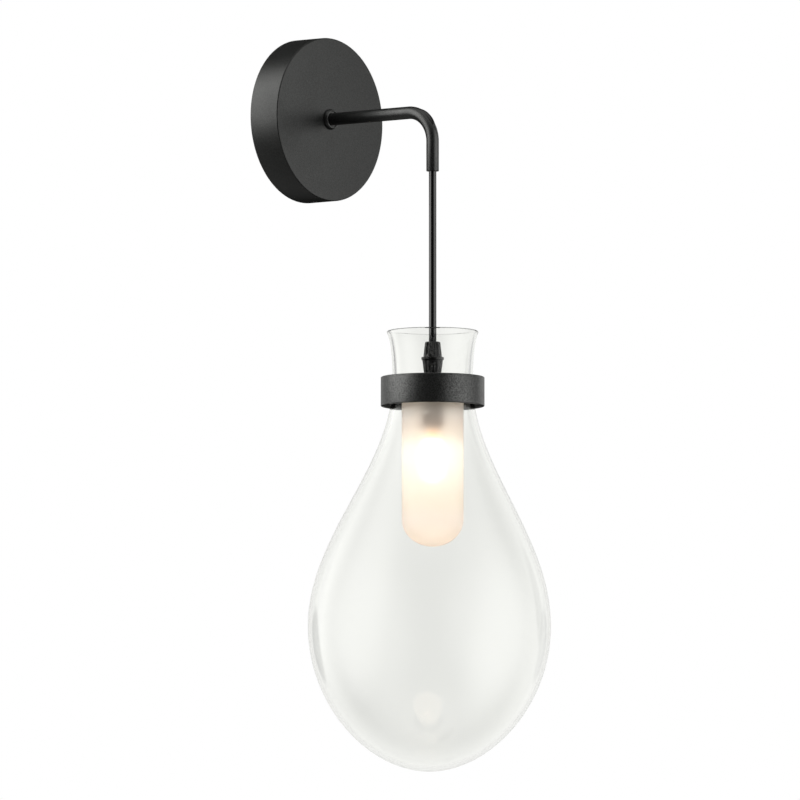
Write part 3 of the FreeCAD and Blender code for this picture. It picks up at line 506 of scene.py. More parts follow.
@dataclass(frozen=True)
class FrostedGlassWithPaintedGlow:
    """Acid frosted glass, rough and milky, with the lamp's light painted on as emission by height: brightest
    beside the lamp, warm below it, and dimmer towards the top.
    """

    name: str = "frosted_glass"
    milk: Colour = (0.93, 0.90, 0.86)
    thin_milk: Colour = (0.90, 0.87, 0.83)
    top_z: float = -0.232
    foot_z: float = -0.3465
    # Painted light: emission colours by height along the tube, foot to top, standing in for the lamp's light
    # through the frosted glass.
    glow: tuple[tuple[float, Colour], ...] = (
        (0.0, (0.228, 0.184, 0.146)), (0.036, (0.216, 0.172, 0.136)), (0.105, (0.182, 0.147, 0.118)),
        (0.174, (0.163, 0.133, 0.115)), (0.31, (0.167, 0.142, 0.111)), (0.38, (0.174, 0.154, 0.126)),
        (0.45, (0.186, 0.166, 0.138)), (0.67, (0.226, 0.213, 0.190)), (0.76, (0.176, 0.150, 0.120)),
        (0.83, (0.136, 0.108, 0.088)), (0.91, (0.110, 0.096, 0.084)), (1.0, (0.055, 0.046, 0.037)),
    )

    def build(self) -> bpy.types.Material:
        """Builds the material.

        Returns:
            The material.
        """
        shader = Shader(self.name)
        shader.link(shader.ramp(shader.noise(1800.0, 3.0), [(0.3, self.thin_milk), (0.7, self.milk)]),
                    shader.bsdf.inputs["Base Color"])
        shader.set(Roughness=0.5, IOR=1.3, Transmission_Weight=0.9, Specular_IOR_Level=0.3)
        # Painted light: the ramp paints the lamp's glow onto the tube as emission, by height.
        shader.link(shader.ramp(shader.along("Z", self.foot_z, self.top_z), list(self.glow)),
                    shader.bsdf.inputs["Emission Color"])
        shader.set(Emission_Strength=1.0)
        shader.bump(shader.noise(2200.0, 2.0), 0.3, 0.00005)
        return shader.material


@dataclass(frozen=True)
class Glow:
    """A lit surface that fades from its middle to its ends along Z."""

    name: str
    colour: Colour
    strength: float
    low: float
    high: float

    def build(self) -> bpy.types.Material:
        """Builds the material.

        Returns:
            The material.
        """
        shader = Shader(self.name)
        edge = (self.colour[0] * 0.30, self.colour[1] * 0.14, self.colour[2] * 0.04)
        glow = shader.ramp(shader.along("Z", self.low, self.high),
                           [(0.0, self.colour), (0.66, self.colour), (0.80, edge),
                            (0.92, tuple(c * 0.5 for c in edge)), (1.0, (0.03, 0.012, 0.004))])
        shader.link(glow, shader.bsdf.inputs["Emission Color"])
        shader.set(Base_Color=(0.9, 0.88, 0.84), Roughness=0.3, Emission_Strength=self.strength)
        return shader.material


class Finishes:
    """Every finish of the object, built once."""

    def __init__(self) -> None:
        """Builds each finish."""
        brown, blue, green = (0.16, 0.05, 0.02), (0.02, 0.10, 0.42), (0.35, 0.42, 0.03)
        self.powder = PowderCoat().build()
        self.cover = PowderCoat("cover_coat_black", specular=0.30, grain_height=0.00008, speckle=0.08).build()
        self.arm = PowderCoat("arm_coat_black", grain_height=0.00008, speckle=0.08).build()
        self.cord = MouldedPlastic("cord_sheath", (0.003, 0.003, 0.003), 0.17, 0.000003).build()
        self.grip = MouldedPlastic("grip_nylon", (0.004, 0.004, 0.004), 0.28, 0.00002).build()
        self.soft = MouldedPlastic("soft_washer", (0.02, 0.02, 0.02), 0.6).build()
        self.nylon = MouldedPlastic("terminal_nylon", (0.72, 0.72, 0.68), 0.45).build()
        self.steel = Metal("plated_steel", (0.56, 0.57, 0.58), 0.34).build()
        self.brass = Metal("brass", (0.74, 0.55, 0.24), 0.3, (1.0, 1.0, 1.0)).build()
        self.shaded_ceramic = ShadedCeramic().build()
        self.supply_cores = WireCores("supply_cores", (brown, green, blue), 0.0035).build()
        self.lamp_cores = WireCores("lamp_cores", (brown, blue), 0.004).build()
        self.glass = BlownGlass("blown_glass").build()
        self.frosted = FrostedGlassWithPaintedGlow().build()
        self.capsule = Glow("capsule_glow", (1.0, 0.86, 0.68), 5.0, -0.291, -0.253).build()
        self.filament = Glow("filament_glow", (1.0, 0.70, 0.38), 12.0, -0.30, -0.20).build()


# ------------------------------------------------------------------ the sub-assemblies


def dress(frame: dict, finish: bpy.types.Material, *nodes: str) -> None:
    """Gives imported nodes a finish.

    Args:
        frame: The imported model.
        finish: The material.
        nodes: The nodes' names.
    """
    for node in nodes:
        mesh = frame["nodes"][node].data
        mesh.materials.clear()
        mesh.materials.append(finish)


def place(piece: bpy.types.Object, body: str, node: str, slot: str, finish: bpy.types.Material) -> None:
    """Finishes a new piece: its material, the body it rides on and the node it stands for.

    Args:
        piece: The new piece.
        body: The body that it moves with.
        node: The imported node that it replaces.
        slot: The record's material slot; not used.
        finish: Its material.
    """
    piece.data.materials.clear()
    piece.data.materials.append(finish)
    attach(piece, body)
    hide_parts(node)
    LOG.info("%s stands for %s on %s", piece.name, node, body)


@dataclass
class WallSide:
    """Canopy, arm and what is inside them."""

    frame: dict
    finishes: Finishes
    edge_radius: float = 1.0 * MM
    canopy_wall: float = 1.2 * MM
    tube_wall: float = 1.0 * MM
    bend_radius: float = 24.5 * MM
    mouth_chamfer: float = 0.35 * MM
    arm_hole: float = 5.1 * MM
    collar_bore: float = 5.05 * MM
    collar_lip: float = 6.8 * MM
    collar_recess: float = 6.05 * MM
    collar_recess_depth: float = 0.9 * MM
    collar_base: float = 1.1 * MM

    def build(self) -> None:
        """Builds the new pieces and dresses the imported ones."""
        self.canopy()
        self.arm()
        self.collar()
        finish = self.finishes
        dress(self.frame, finish.powder, "canopy_screws")
        dress(self.frame, finish.steel, "wall_bracket", "arm_washer", "arm_locknut", "terminal_screws",
              "retainer_screw")
        dress(self.frame, finish.brass, "earth_screw")
        dress(self.frame, finish.nylon, "terminal_block", "cord_retainer")
        dress(self.frame, finish.soft, "arm_liner")
        dress(self.frame, finish.supply_cores, "canopy_cores")

    def canopy(self) -> None:
        """The deep drawn cover, with a soft front edge and a hole for the arm."""
        low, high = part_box("canopy")
        radius, front = (high.x - low.x) / 2, low.y
        bore, inner = radius - self.canopy_wall, front + self.canopy_wall
        hole = self.arm_hole
        corners = [(hole, front), (radius, front), (radius, 0.0), (bore, 0.0), (bore, inner), (hole, inner)]
        radii = [0.0, self.edge_radius, 0.25 * MM, 0.25 * MM, self.edge_radius / 2, 0.0]
        piece = lathe("canopy_cover", rounded(corners, radii, 6), Vector(), Axis.OUT, 192)
        place(piece, "root", "canopy", "powder_black", self.finishes.cover)

    def arm(self) -> None:
        """The bent tube: a circle drawn out along the arm, spun round the bend and drawn to the mouth."""
        low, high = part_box("arm_tube")
        radius = (high.x - low.x) / 2
        axis_y, mouth = low.y + radius, low.z
        bend = self.bend_radius
        deselect()
        bpy.ops.mesh.primitive_circle_add(vertices=64, radius=radius, location=(0, high.y, 0),
                                          rotation=(math.pi / 2, 0, 0))
        piece = bpy.context.object
        piece.name = "arm_bent_tube"
        settle(piece)
        bpy.ops.object.mode_set(mode="EDIT")
        bpy.ops.mesh.select_all(action="SELECT")
        run = axis_y + bend - high.y
        bpy.ops.mesh.extrude_region_move(TRANSFORM_OT_translate={"value": (0, run, 0)})
        bpy.ops.mesh.spin(steps=40, angle=-math.pi / 2, center=(0, axis_y + bend, -bend), axis=(1, 0, 0))
        bpy.ops.mesh.extrude_region_move(TRANSFORM_OT_translate={"value": (0, 0, mouth + bend)})
        bpy.ops.mesh.select_all(action="SELECT")
        bpy.ops.mesh.remove_doubles(threshold=1e-6)
        bpy.ops.mesh.normals_make_consistent(inside=False)
        bpy.ops.object.mode_set(mode="OBJECT")
        wall = piece.modifiers.new("wall", "SOLIDIFY")
        wall.thickness = self.tube_wall
        wall.offset = -1.0
        edge = piece.modifiers.new("mouth", "BEVEL")
        edge.width = self.mouth_chamfer
        edge.segments = 2
        edge.limit_method = "ANGLE"
        edge.angle_limit = math.radians(60)
        apply_modifiers(piece)
        smooth(piece)
        place(piece, "root", "arm_tube", "powder_black", self.finishes.arm)

    def collar(self) -> None:
        """The rounded collar at the arm's root, with its lip recessed round the tube."""
        low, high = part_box("arm_collar")
        base, back, front = (high.x - low.x) / 2, high.y, low.y
        bore, lip = self.collar_bore, self.collar_lip
        recess, depth = self.collar_recess, self.collar_recess_depth
        corners = [(bore, back), (base, back), (base, back - self.collar_base),
                   (lip + 0.5 * MM, front + 0.25 * MM), (recess + 0.3 * MM, front), (recess, front + depth),
                   (bore, front + depth)]
        radii = [0.0, 0.1 * MM, 0.6 * MM, 0.5 * MM, 0.25 * MM, 0.1 * MM, 0.0]
        piece = lathe("arm_root_collar", rounded(corners, radii, 4), Vector(), Axis.OUT, 96)
        place(piece, "root", "arm_collar", "powder_black", self.finishes.arm)


@dataclass
class Cord:
    """The cord: held inside the arm, bending under its mouth, then straight down to the grip."""

    frame: dict
    finishes: Finishes
    radius: float = 3.0 * MM
    reach: float = 134.0 * MM
    bend_z: float = -51.4 * MM
    bend_radius: float = 24.5 * MM
    bend_pull: float = 0.42
    stops: tuple[float, ...] = (0.0, 0.22, 0.5, 0.78, 1.0)

    def build(self) -> None:
        """Builds both stretches of the cord."""
        self.held()
        self.hanging()
        dress(self.frame, self.finishes.cord, "cord_flex")

    def line(self, name: str, route: list[tuple[float, float, float]]) -> bpy.types.Object:
        """A round cord along a smooth spline.

        Args:
            name: The piece's name.
            route: The spline's points, in metres.

        Returns:
            The curve object.
        """
        curve = bpy.data.curves.new(name, "CURVE")
        curve.dimensions = "3D"
        curve.resolution_u = 24
        curve.bevel_depth = self.radius
        curve.bevel_resolution = 10
        curve.use_fill_caps = True
        spline = curve.splines.new("NURBS")
        spline.points.add(len(route) - 1)
        for point, spot in zip(spline.points, route):
            point.co = (*spot, 1.0)
        spline.order_u = 3
        spline.use_endpoint_u = True
        piece = bpy.data.objects.new(name, curve)
        bpy.context.scene.collection.objects.link(piece)
        return piece

    def held(self) -> None:
        """The stretch inside the arm, out to where the cord bends under the mouth."""
        _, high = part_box("cord_in_arm")
        y, turn = -self.reach, self.bend_radius
        near = turn * self.bend_pull
        route = [(0, high.y, 0), (0, high.y / 2 + (y + turn) / 2, 0), (0, y + turn, 0), (0, y + near, 0),
                 (0, y, -near), (0, y, -turn), (0, y, (self.bend_z - turn) / 2), (0, y, self.bend_z)]
        piece = self.line("cord_inside_arm", route)
        place(piece, "root", "cord_in_arm", "cord_black", self.finishes.cord)

    def hanging(self) -> None:
        """The straight stretch that carries the pendant."""
        low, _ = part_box("hanging_cord")
        y = -self.reach
        length = self.bend_z - low.z
        piece = self.line("pendant_cord", [(0, y, self.bend_z - length * stop) for stop in self.stops])
        place(piece, "cord", "hanging_cord", "cord_black", self.finishes.cord)


@dataclass
class Grip:
    """The cord grip: fluted nut, flange and tapered body."""

    frame: dict
    finishes: Finishes
    reach: float = 134.0 * MM
    cap_top_radius: float = 6.0 * MM
    cap_foot_radius: float = 7.3 * MM
    cap_flutes: int = 10
    body_flutes: int = 12
    cap_flute_depth: float = 0.95 * MM
    body_flute_depth: float = 0.8 * MM
    flute_fade: float = 1.2 * MM
    bore: float = 3.25 * MM
    flange: float = 8.95 * MM
    flange_height: float = 2.0 * MM
    slope: float = 8.1 * MM
    taper_foot: float = 6.5 * MM
    stem: float = 4.9 * MM
    tail: float = 5.0 * MM

    def build(self) -> None:
        """Builds the nut and the body, and dresses what is inside."""
        self.cap()
        self.body()
        dress(self.frame, self.finishes.soft, "grip_collet")
        dress(self.frame, self.finishes.steel, "grip_locknut")

    def flute(self, piece: bpy.types.Object, count: int, depth: float, low: float, high: float,
              outside: float) -> None:
        """Presses shallow flutes into the side of a turned piece.

        Args:
            piece: The turned piece.
            count: How many flutes.
            depth: How deep they are.
            low: Where they start.
            high: Where they run out.
            outside: Only points further out than this move.
        """
        fade = self.flute_fade
        for vertex in piece.data.vertices:
            x, y = vertex.co.x, vertex.co.y + self.reach
            radius = math.hypot(x, y)
            if radius < outside or not low <= vertex.co.z <= high:
                continue
            ends = min(1.0, (vertex.co.z - low) / fade + 0.35, (high - vertex.co.z) / fade)
            wave = (0.5 + 0.5 * math.cos(count * math.atan2(y, x))) ** 1.6
            shrink = 1 - depth * max(0.0, ends) * wave / radius
            vertex.co.x, vertex.co.y = x * shrink, y * shrink - self.reach

    def cap(self) -> None:
        """The compression nut."""
        low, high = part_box("grip_cap")
        top, foot = self.cap_top_radius, self.cap_foot_radius
        corners = [(self.bore, high.z), (top, high.z), (foot, low.z + 0.4 * MM), (foot, low.z),
                   (self.bore, low.z)]
        outline = rounded(corners, [0.3 * MM, 1.0 * MM, 0.3 * MM, 0.2 * MM, 0.0], 4)
        outline = self.divided(outline, 1.0 * MM)
        piece = lathe("grip_nut", outline, Vector((0, -self.reach, 0)), Axis.UP, self.cap_flutes * 16)
        self.flute(piece, self.cap_flutes, self.cap_flute_depth, low.z + 0.8 * MM, high.z,
                   self.bore + 1.5 * MM)
        smooth(piece, 50)
        place(piece, "pendant", "grip_cap", "grip_black", self.finishes.grip)

    def divided(self, outline: Outline, step: float) -> Outline:
        """Adds points along an outline's long runs.

        Args:
            outline: The closed outline.
            step: The longest run to leave, roughly.

        Returns:
            The outline with its new points.
        """
        points: Outline = []
        for a, b in zip(outline, outline[1:] + outline[:1]):
            count = max(1, int(math.dist(a, b) / step))
            points += [(a[0] + (b[0] - a[0]) * i / count, a[1] + (b[1] - a[1]) * i / count)
                       for i in range(count)]
        return points

    def body(self) -> None:
        """Flange, slope, fluted taper and threaded tail."""
        low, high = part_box("grip_body")
        nut_low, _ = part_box("grip_cap")
        _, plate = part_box("carrier_cup")
        flange_top, foot = nut_low.z, plate.z
        corners = [(self.bore, high.z), (self.stem, high.z), (self.stem, flange_top - 0.1 * MM),
                   (7.7 * MM, flange_top), (self.flange, flange_top - 0.15 * MM),
                   (self.flange, flange_top - self.flange_height), (self.slope, flange_top - 3.0 * MM),
                   (self.taper_foot, foot), (self.tail, foot), (self.tail, low.z), (self.bore, low.z)]
        radii = [r * MM for r in (0.1, 0.2, 0.0, 0.1, 0.35, 0.5, 0.4, 0.1, 0.0, 0.3, 0.0)]
        outline = self.divided(rounded(corners, radii, 3), 1.2 * MM)
        piece = lathe("grip_taper", outline, Vector((0, -self.reach, 0)), Axis.UP, self.body_flutes * 14)
        self.flute(piece, self.body_flutes, self.body_flute_depth, foot + 0.2 * MM, flange_top - 3.2 * MM,
                   self.tail + 0.8 * MM)
        smooth(piece, 50)
        place(piece, "pendant", "grip_body", "grip_black", self.finishes.grip)


@dataclass
class Glass:
    """The blown teardrop shade and the black ring that hides its screws."""

    frame: dict
    finishes: Finishes
    reach: float = 134.0 * MM
    rim_radius: float = 36.2 * MM
    rim_wall: float = 2.3 * MM
    waist_radius: float = 31.9 * MM
    waist_wall: float = 3.4 * MM
    waist_below_rim: float = 41.0 * MM
    belly_wall: float = 2.2 * MM
    belly_below_rim: float = 234.0 * MM
    pole_wall: float = 3.2 * MM
    ring_wall: float = 2.0 * MM
    screw_hole: float = 2.5 * MM
    screw_turns: tuple[float, ...] = (90.0, 210.0, 330.0)
    lean: float = 2.6 * MM
    lean_way: Vector = field(default_factory=lambda: Vector((-0.643, 0.766, 0.0)))
    around: int = 200

    def build(self) -> None:
        """Builds the shade and the ring, and dresses the carrier."""
        self.shade()
        self.ring()
        finish = self.finishes
        dress(self.frame, finish.powder, "carrier_cup", "glass_screws", "diffuser_retainer")
        dress(self.frame, finish.soft, "screw_washers", "diffuser_gasket")

    def side(self, rim: float, start: float, waist: float, belly: float, belly_z: float, waist_z: float,
             pole: float, full: float) -> Outline:
        """One side of the glass, from the rim down to the pole.

        Args:
            rim: Radius at the rim.
            start: Height of the rim's rounding.
            waist: Radius at the waist.
            belly: Greatest radius.
            belly_z: Height of the belly.
            waist_z: Height of the waist.
            pole: Height of the pole on this side.
            full: Height of the pole outside.

        Returns:
            The outline's points.
        """
        flare, flare_slope, waist_pull = 12.0 * MM, 0.43, 2.0 * MM
        shoulder, up, down, sweep = 67.3 * MM, 72.0 * MM, 63.6 * MM, 47.4 * MM
        share = (belly_z - pole) / (belly_z - full)
        neck = curve_points([(rim, start), (rim - flare_slope * flare, start - flare),
                             (waist, waist_z + waist_pull), (waist, waist_z)], 24)
        sweep_in = sweep * belly / (96.0 * MM)
        body = curve_points([(waist, waist_z), (waist, waist_z - shoulder), (belly, belly_z + up),
                             (belly, belly_z)], 104)
        bottom = curve_points([(belly, belly_z), (belly, belly_z - down * share), (sweep_in, pole),
                               (0.0, pole)], 88)
        return neck + body + bottom + [(0.0, pole)]

    def shade(self) -> None:
        """The glass itself, a closed wall with a fire-rounded rim and three screw holes."""
        low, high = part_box("glass_shade")
        belly = (high.x - low.x) / 2
        lip = self.rim_wall / 2
        waist_z, belly_z = high.z - self.waist_below_rim, high.z - self.belly_below_rim
        outer = self.side(self.rim_radius, high.z - lip, self.waist_radius, belly, belly_z, waist_z, low.z,
                          low.z)
        inner = self.side(self.rim_radius - self.rim_wall, high.z - lip, self.waist_radius - self.waist_wall,
                          belly - self.belly_wall, belly_z, waist_z, low.z + self.pole_wall, low.z)
        rim = []
        for step in range(1, 8):
            turn = math.pi * step / 8
            rim.append((self.rim_radius - lip - lip * math.cos(turn), high.z - lip + lip * math.sin(turn)))
        piece = lathe("blown_shade", inner[::-1] + rim + outer, Vector((0, -self.reach, 0)), Axis.UP,
                      self.around)
        self.drill(piece)
        self.blow(piece, belly_z, waist_z)
        smooth(piece, 40)
        place(piece, "pendant", "glass_shade", "clear_glass", self.finishes.glass)

    def drill(self, piece: bpy.types.Object) -> None:
        """Cuts the three screw holes in the waist.

        Args:
            piece: The shade.
        """
        low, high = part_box("glass_screws")
        height = (low.z + high.z) / 2
        for turn in self.screw_turns:
            way = Vector((math.cos(math.radians(turn)), math.sin(math.radians(turn)), 0.0))
            deselect()
            bpy.ops.mesh.primitive_cylinder_add(vertices=32, radius=self.screw_hole, depth=12 * MM,
                                                location=Vector((0, -self.reach, height)) + way * 30 * MM,
                                                rotation=way.to_track_quat("Z", "Y").to_euler())
            drill = bpy.context.object
            hole = piece.modifiers.new("hole", "BOOLEAN")
            hole.object = drill
            hole.solver = "EXACT"
            apply_modifiers(piece)
            bpy.data.objects.remove(drill)

    def blow(self, piece: bpy.types.Object, belly_z: float, waist_z: float) -> None:
        """Leans the belly a little to one side, as on glass blown by hand.

        Args:
            piece: The shade.
            belly_z: Height of the belly, where it leans in full.
            waist_z: Height of the waist, where it starts to lean.
        """
        for vertex in piece.data.vertices:
            if vertex.co.z < waist_z:
                share = min(1.0, (waist_z - vertex.co.z) / (waist_z - belly_z))
                vertex.co += self.lean_way * self.lean * share * share * (3 - 2 * share)

    def ring(self) -> None:
        """The band, with an inward lip and soft edges."""
        low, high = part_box("shade_ring")
        outer = (high.x - low.x) / 2
        bore, lip_bore, lip = outer - self.ring_wall, self.rim_radius + 0.6 * MM, 2.0 * MM
        corners = [(lip_bore, high.z), (outer, high.z), (outer, low.z), (bore, low.z), (bore, high.z - lip),
                   (lip_bore, high.z - lip)]
        radii = [0.3 * MM, 0.8 * MM, 0.7 * MM, 0.4 * MM, 0.3 * MM, 0.3 * MM]
        piece = lathe("waist_ring", rounded(corners, radii, 5), Vector((0, -self.reach, 0)), Axis.UP, 160)
        place(piece, "pendant", "shade_ring", "powder_black", self.finishes.powder)


@dataclass
class Lamp:
    """The frosted tube and the lamp inside it."""

    frame: dict
    finishes: Finishes
    reach: float = 134.0 * MM
    wall: float = 2.0 * MM
    end: float = 21.6 * MM
    tube_radius: float = 24.5 * MM
    round_pull: float = 0.5523

    def build(self) -> None:
        """Builds the frosted tube and dresses the lamp."""
        self.tube()
        finish = self.finishes
        dress(self.frame, finish.shaded_ceramic, "lampholder")
        dress(self.frame, finish.steel, "lampholder_bracket", "lampholder_screws", "bulb_pins")
        dress(self.frame, finish.brass, "lamp_contacts")
        dress(self.frame, finish.lamp_cores, "lamp_leads")
        dress(self.frame, finish.capsule, "bulb_glass")
        dress(self.frame, finish.filament, "bulb_filament")

    def tube(self) -> None:
        """The frosted tube, with a lip at the top and a flattened round end."""
        low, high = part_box("diffuser")
        lip, outer, inner = (high.x - low.x) / 2, self.tube_radius, self.tube_radius - self.wall
        turn, shelf = low.z + self.end, high.z - 2.0 * MM
        pull = self.round_pull
        outside = curve_points([(outer, turn), (outer, turn - pull * self.end), (pull * outer, low.z),
                                (0.0, low.z)], 24)
        depth = self.end - self.wall
        inside = curve_points([(inner, turn), (inner, turn - pull * depth), (pull * inner, low.z + self.wall),
                               (0.0, low.z + self.wall)], 24)
        shoulder = rounded([(inner, high.z), (lip, high.z), (lip, shelf), (outer, shelf), (outer, turn)],
                           [0.4 * MM, 0.4 * MM, 0.3 * MM, 0.4 * MM, 0.0], 3)[:-1]
        outline = [(0.0, low.z + self.wall)] + inside[::-1] + shoulder + outside + [(0.0, low.z)]
        piece = lathe("frosted_tube", outline, Vector((0, -self.reach, 0)), Axis.UP, 128)
        place(piece, "pendant", "diffuser", "frosted_glass", self.finishes.frosted)


# ------------------------------------------------------------------ the studio


@dataclass(frozen=True)
class Lobe:
    """Soft light round a direction.

    The way is a share to the picture's right, one towards the camera and one up. The light starts at
    one cosine from its middle and is full at the other.
    """

    way: tuple[float, float, float]
    start: float
    stop: float
    colour: Colour


BLACK: Colour = (0.0, 0.0, 0.0)
WHITE: Colour = (1.0, 1.0, 1.0)
# What satin paint mirrors: a wall of light at each side, weaker ones behind, a faint floor and a ceiling.
PAINT_FILL: Colour = (0.010, 0.011, 0.010)
PAINT_LOBES = (
    Lobe((-1.0, 0.14, 0.44), 0.74, 0.97, (4.75, 4.77, 4.65)),
    Lobe((-0.64, -0.77, 0.0), 0.80, 1.0, (0.8, 0.8, 0.79)),
    Lobe((0.93, 0.37, 0.05), 0.70, 0.985, (2.9, 2.92, 2.85)),
    Lobe((0.64, -0.77, 0.0), 0.80, 1.0, (1.1, 1.1, 1.08)),
    Lobe((-0.6, 0.0, -1.0), 0.30, 1.0, (0.36, 0.36, 0.35)),
    Lobe((0.0, 0.2, 1.0), 0.70, 1.0, (1.1, 1.1, 1.08)))
# What clear glass mirrors: the two walls again, the ceiling, and the white ground behind the object.
GLASS_FILL: Colour = (0.012, 0.013, 0.012)
GLASS_LOBES = (
    Lobe((-1.0, 0.03, 0.20), 0.52, 0.97, (1.08, 1.08, 1.06)),
    Lobe((0.90, 0.44, 0.05), 0.50, 0.97, (0.98, 0.98, 0.97)),
    Lobe((0.0, 0.0, 1.0), 0.55, 0.95, (0.5, 0.5, 0.49)),
    Lobe((0.0, -1.0, 0.0), 0.20, 0.80, (0.92, 0.92, 0.90)))
# Dark panels at both sides behind the object: they draw the edges of the collar's wall.
GLASS_PANELS = (
    Lobe((-0.62, -0.78, -0.09), 0.981, 0.992, (0.42, 0.42, 0.42)),
    Lobe((0.62, -0.78, -0.09), 0.981, 0.992, (0.62, 0.62, 0.62)))
# What is seen straight through the glass.
THROUGH_FILL: Colour = (0.90, 0.90, 0.885)
THROUGH_PANELS = (
    Lobe((0.0, -1.0, 0.0), 0.20, 0.80, (1.0, 1.0, 0.985)),
    Lobe((-0.62, -0.78, -0.09), 0.981, 0.992, (0.04, 0.04, 0.04)),
    Lobe((0.62, -0.78, -0.09), 0.981, 0.992, (0.50, 0.50, 0.50)))
# What lights matt surfaces.
MATT_FILL: Colour = (0.16, 0.16, 0.16)
MATT_LOBES = (
    Lobe((-1.0, 0.0, 0.45), 0.2, 0.98, (2.0, 2.0, 2.0)),
    Lobe((1.0, 0.0, 0.2), 0.3, 0.97, (1.3, 1.3, 1.3)))


class Surroundings:
    """The world's light, as smooth lobes round directions, chosen by the kind of ray."""

    def __init__(self, right: Vector, back: Vector, up: Vector) -> None:
        """Starts a world with its background shader.

        Args:
            right: The picture's right.
            back: Towards the camera.
            up: Up.
        """
        world = bpy.data.worlds.new("studio")
        world.use_nodes = True
        bpy.context.scene.world = world
        self.sides = (right, back, up)
        self.tree = world.node_tree
        self.background = self.tree.nodes["Background"]
        self.coords = self.tree.nodes.new("ShaderNodeTexCoord")
        self.path = self.tree.nodes.new("ShaderNodeLightPath")

    def flat(self, colour: Colour) -> Socket:
        """The same colour from everywhere.

        Args:
            colour: The colour.

        Returns:
            Its socket.
        """
        node = self.tree.nodes.new("ShaderNodeRGB")
        node.outputs[0].default_value = (*colour, 1.0)
        return node.outputs[0]

    def laid(self, lobe: Lobe, under: Socket) -> Socket:
        """Lays a lobe over other light.

        Args:
            lobe: The lobe.
            under: The light that it covers.

        Returns:
            The light with the lobe.
        """
        way = sum((side * share for side, share in zip(self.sides, lobe.way)), Vector())
        dot = self.tree.nodes.new("ShaderNodeVectorMath")
        dot.operation = "DOT_PRODUCT"
        dot.inputs[1].default_value = way.normalized()
        self.tree.links.new(self.coords.outputs["Generated"], dot.inputs[0])
        ranged = self.tree.nodes.new("ShaderNodeMapRange")
        ranged.interpolation_type = "SMOOTHSTEP"
        ranged.inputs["From Min"].default_value = lobe.start
        ranged.inputs["From Max"].default_value = lobe.stop
        self.tree.links.new(dot.outputs["Value"], ranged.inputs["Value"])
        return self.mixed(ranged.outputs["Result"], under, self.flat(lobe.colour))

    def mixed(self, factor: Socket | None, first: Socket,
              second: Socket, kind: str = "MIX") -> Socket:
        """Mixes two colours.

        Args:
            factor: How much of the second, all of it if None.
            first: The first colour.
            second: The second colour.
            kind: MIX or ADD.

        Returns:
            The mixture.
        """
        mix = self.tree.nodes.new("ShaderNodeMix")
        mix.data_type = "RGBA"
        mix.blend_type = kind
        mix.inputs["Factor"].default_value = 1.0
        if factor:
            self.tree.links.new(factor, mix.inputs["Factor"])
        self.tree.links.new(first, mix.inputs[6])
        self.tree.links.new(second, mix.inputs[7])
        return mix.outputs[2]

    def total(self, fill: Colour, lobes: tuple[Lobe, ...]) -> Socket:
        """Adds lobes to an even fill.

        Args:
            fill: The light that comes from everywhere.
            lobes: What is added to it.

        Returns:
            The sum.
        """
        whole = self.flat(fill)
        for lobe in lobes:
            whole = self.mixed(None, whole, self.laid(lobe, self.flat(BLACK)), "ADD")
        return whole

    def covered(self, light: Socket, lobes: tuple[Lobe, ...]) -> Socket:
        """Covers light with lobes, one over the other.

        Args:
            light: The light to start from.
            lobes: What covers it, in order.

        Returns:
            The covered light.
        """
        for lobe in lobes:
            light = self.laid(lobe, light)
        return light

    def chosen(self, flag: str, if_set: Socket,
               otherwise: Socket) -> Socket:
        """Picks a colour for rays of one kind."""
        return self.mixed(self.path.outputs[flag], otherwise, if_set)

    def finish(self, colour: Socket) -> None:
        """Sends the colour to the background."""
        self.tree.links.new(colour, self.background.inputs["Color"])
        self.background.inputs["Strength"].default_value = 1.0


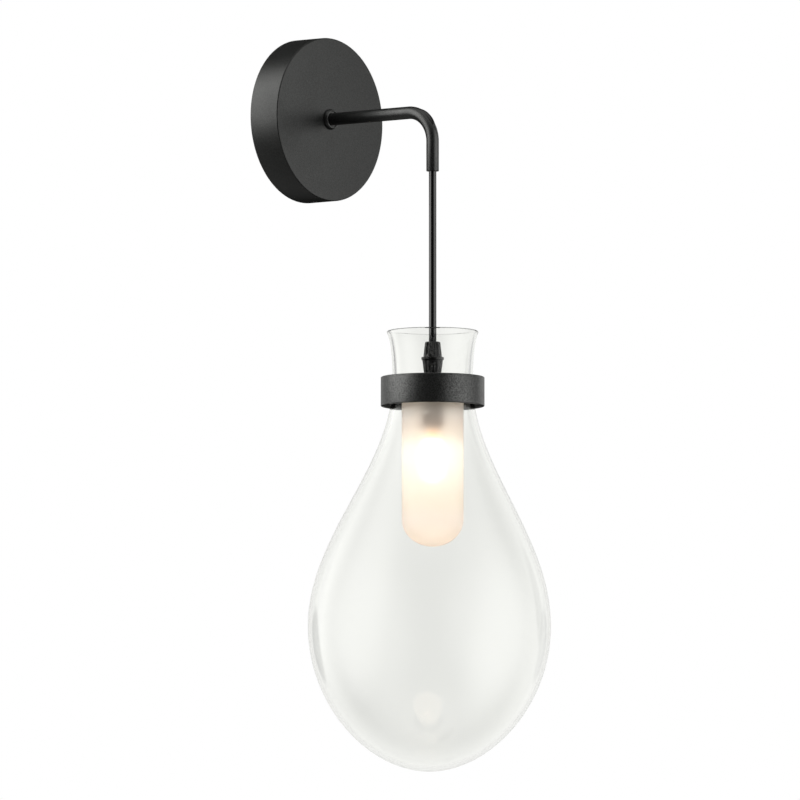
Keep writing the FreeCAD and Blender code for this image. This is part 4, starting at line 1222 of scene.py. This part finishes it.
@dataclass
class Studio:
    """Floor, light and camera."""

    azimuth: float = -50.0
    elevation: float = -5.0
    distance: float = 15.0
    mm_per_pixel: float = 0.79
    image_side: int = 800
    aim: Vector = field(default_factory=lambda: Vector((0.0, -0.134, -0.2297)))
    aim_left: float = 25.8 * MM
    floor_z: float = -1.9
    floor_radius: float = 14.0
    box_place: Vector = field(default_factory=lambda: Vector((-0.5, -0.9, 1.6)))
    box_aim: Vector = field(default_factory=lambda: Vector((0.0, -0.1, -0.2)))
    box_side: float = 1.4
    box_power: float = 9.0

    def build(self) -> None:
        """Builds the studio."""
        bpy.context.scene.view_settings.view_transform = "Standard"
        self.floor()
        self.world()
        self.top_box()
        self.camera()

    def back(self) -> Vector:
        """The direction from the object to the camera."""
        a, e = math.radians(self.azimuth), math.radians(self.elevation)
        return Vector((math.sin(a) * math.cos(e), -math.cos(a) * math.cos(e), math.sin(e)))

    def right(self) -> Vector:
        """The picture's right."""
        a = math.radians(self.azimuth)
        return Vector((math.cos(a), math.sin(a), 0.0))

    def camera(self) -> None:
        """A long lens at the photograph's viewing angle."""
        target = self.aim - self.right() * self.aim_left
        lens = bpy.data.cameras.new("long_lens")
        camera = bpy.data.objects.new("camera", lens)
        bpy.context.scene.collection.objects.link(camera)
        camera.location = target + self.back() * self.distance
        camera.rotation_euler = self.back().to_track_quat("Z", "Y").to_euler()
        lens.lens = lens.sensor_width * self.distance / (self.mm_per_pixel * MM * self.image_side)
        lens.clip_start, lens.clip_end = 0.1, 60.0
        bpy.context.scene.camera = camera

    def floor(self) -> None:
        """A plain pale floor, far below the lamp."""
        deselect()
        bpy.ops.mesh.primitive_circle_add(vertices=96, radius=self.floor_radius, fill_type="NGON",
                                          location=(0, 0, self.floor_z))
        floor = bpy.context.object
        floor.name = "studio_floor"
        settle(floor)
        shader = Shader("pale_floor")
        shader.link(shader.ramp(shader.noise(3.0), [(0.3, (0.80, 0.80, 0.79)), (0.7, (0.84, 0.84, 0.83))]),
                    shader.bsdf.inputs["Base Color"])
        shader.set(Roughness=0.7)
        floor.data.materials.append(shader.material)
        floor.visible_glossy = floor.visible_transmission = floor.visible_diffuse = False

    def world(self) -> None:
        """White to the camera, and a studio of soft walls in what the glass and the paint mirror."""
        sky = Surroundings(self.right(), self.back(), Vector((0.0, 0.0, 1.0)))
        paint = sky.total(PAINT_FILL, PAINT_LOBES)
        glass = sky.covered(sky.total(GLASS_FILL, GLASS_LOBES), GLASS_PANELS)
        through = sky.covered(sky.flat(THROUGH_FILL), THROUGH_PANELS)
        matt = sky.total(MATT_FILL, MATT_LOBES)
        seen = sky.chosen("Is Transmission Ray", through, matt)
        seen = sky.chosen("Glossy Depth", glass, seen)
        seen = sky.chosen("Is Glossy Ray", sky.chosen("Is Singular Ray", glass, paint), seen)
        seen = sky.chosen("Diffuse Depth", matt, seen)
        sky.finish(sky.chosen("Is Camera Ray", sky.flat(WHITE), seen))

    def top_box(self) -> None:
        """A soft box overhead, for the arm's top and for the shadows."""
        light = bpy.data.lights.new("top_box", "AREA")
        light.shape = "RECTANGLE"
        light.size = light.size_y = self.box_side
        light.energy = self.box_power
        box = bpy.data.objects.new("top_box", light)
        bpy.context.scene.collection.objects.link(box)
        box.location = self.box_place
        box.rotation_euler = (self.box_place - self.box_aim).to_track_quat("Z", "Y").to_euler()
        box.visible_glossy = box.visible_transmission = False


def corners(box: tuple[Vector, Vector]) -> list[list[float]]:
    """A box as plain lists of numbers."""
    return [list(corner) for corner in box]


def main() -> None:
    """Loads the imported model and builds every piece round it."""
    logging.basicConfig(level=logging.INFO, format="%(relativeCreated)6d ms  %(message)s")
    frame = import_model()
    Studio().build()
    finishes = Finishes()
    for assembly in (Cord, WallSide, Grip, Glass, Lamp):
        assembly(frame, finishes).build()
        LOG.info("%s built", assembly.__name__)
    deselect()


if __name__ == "__main__":
    main()
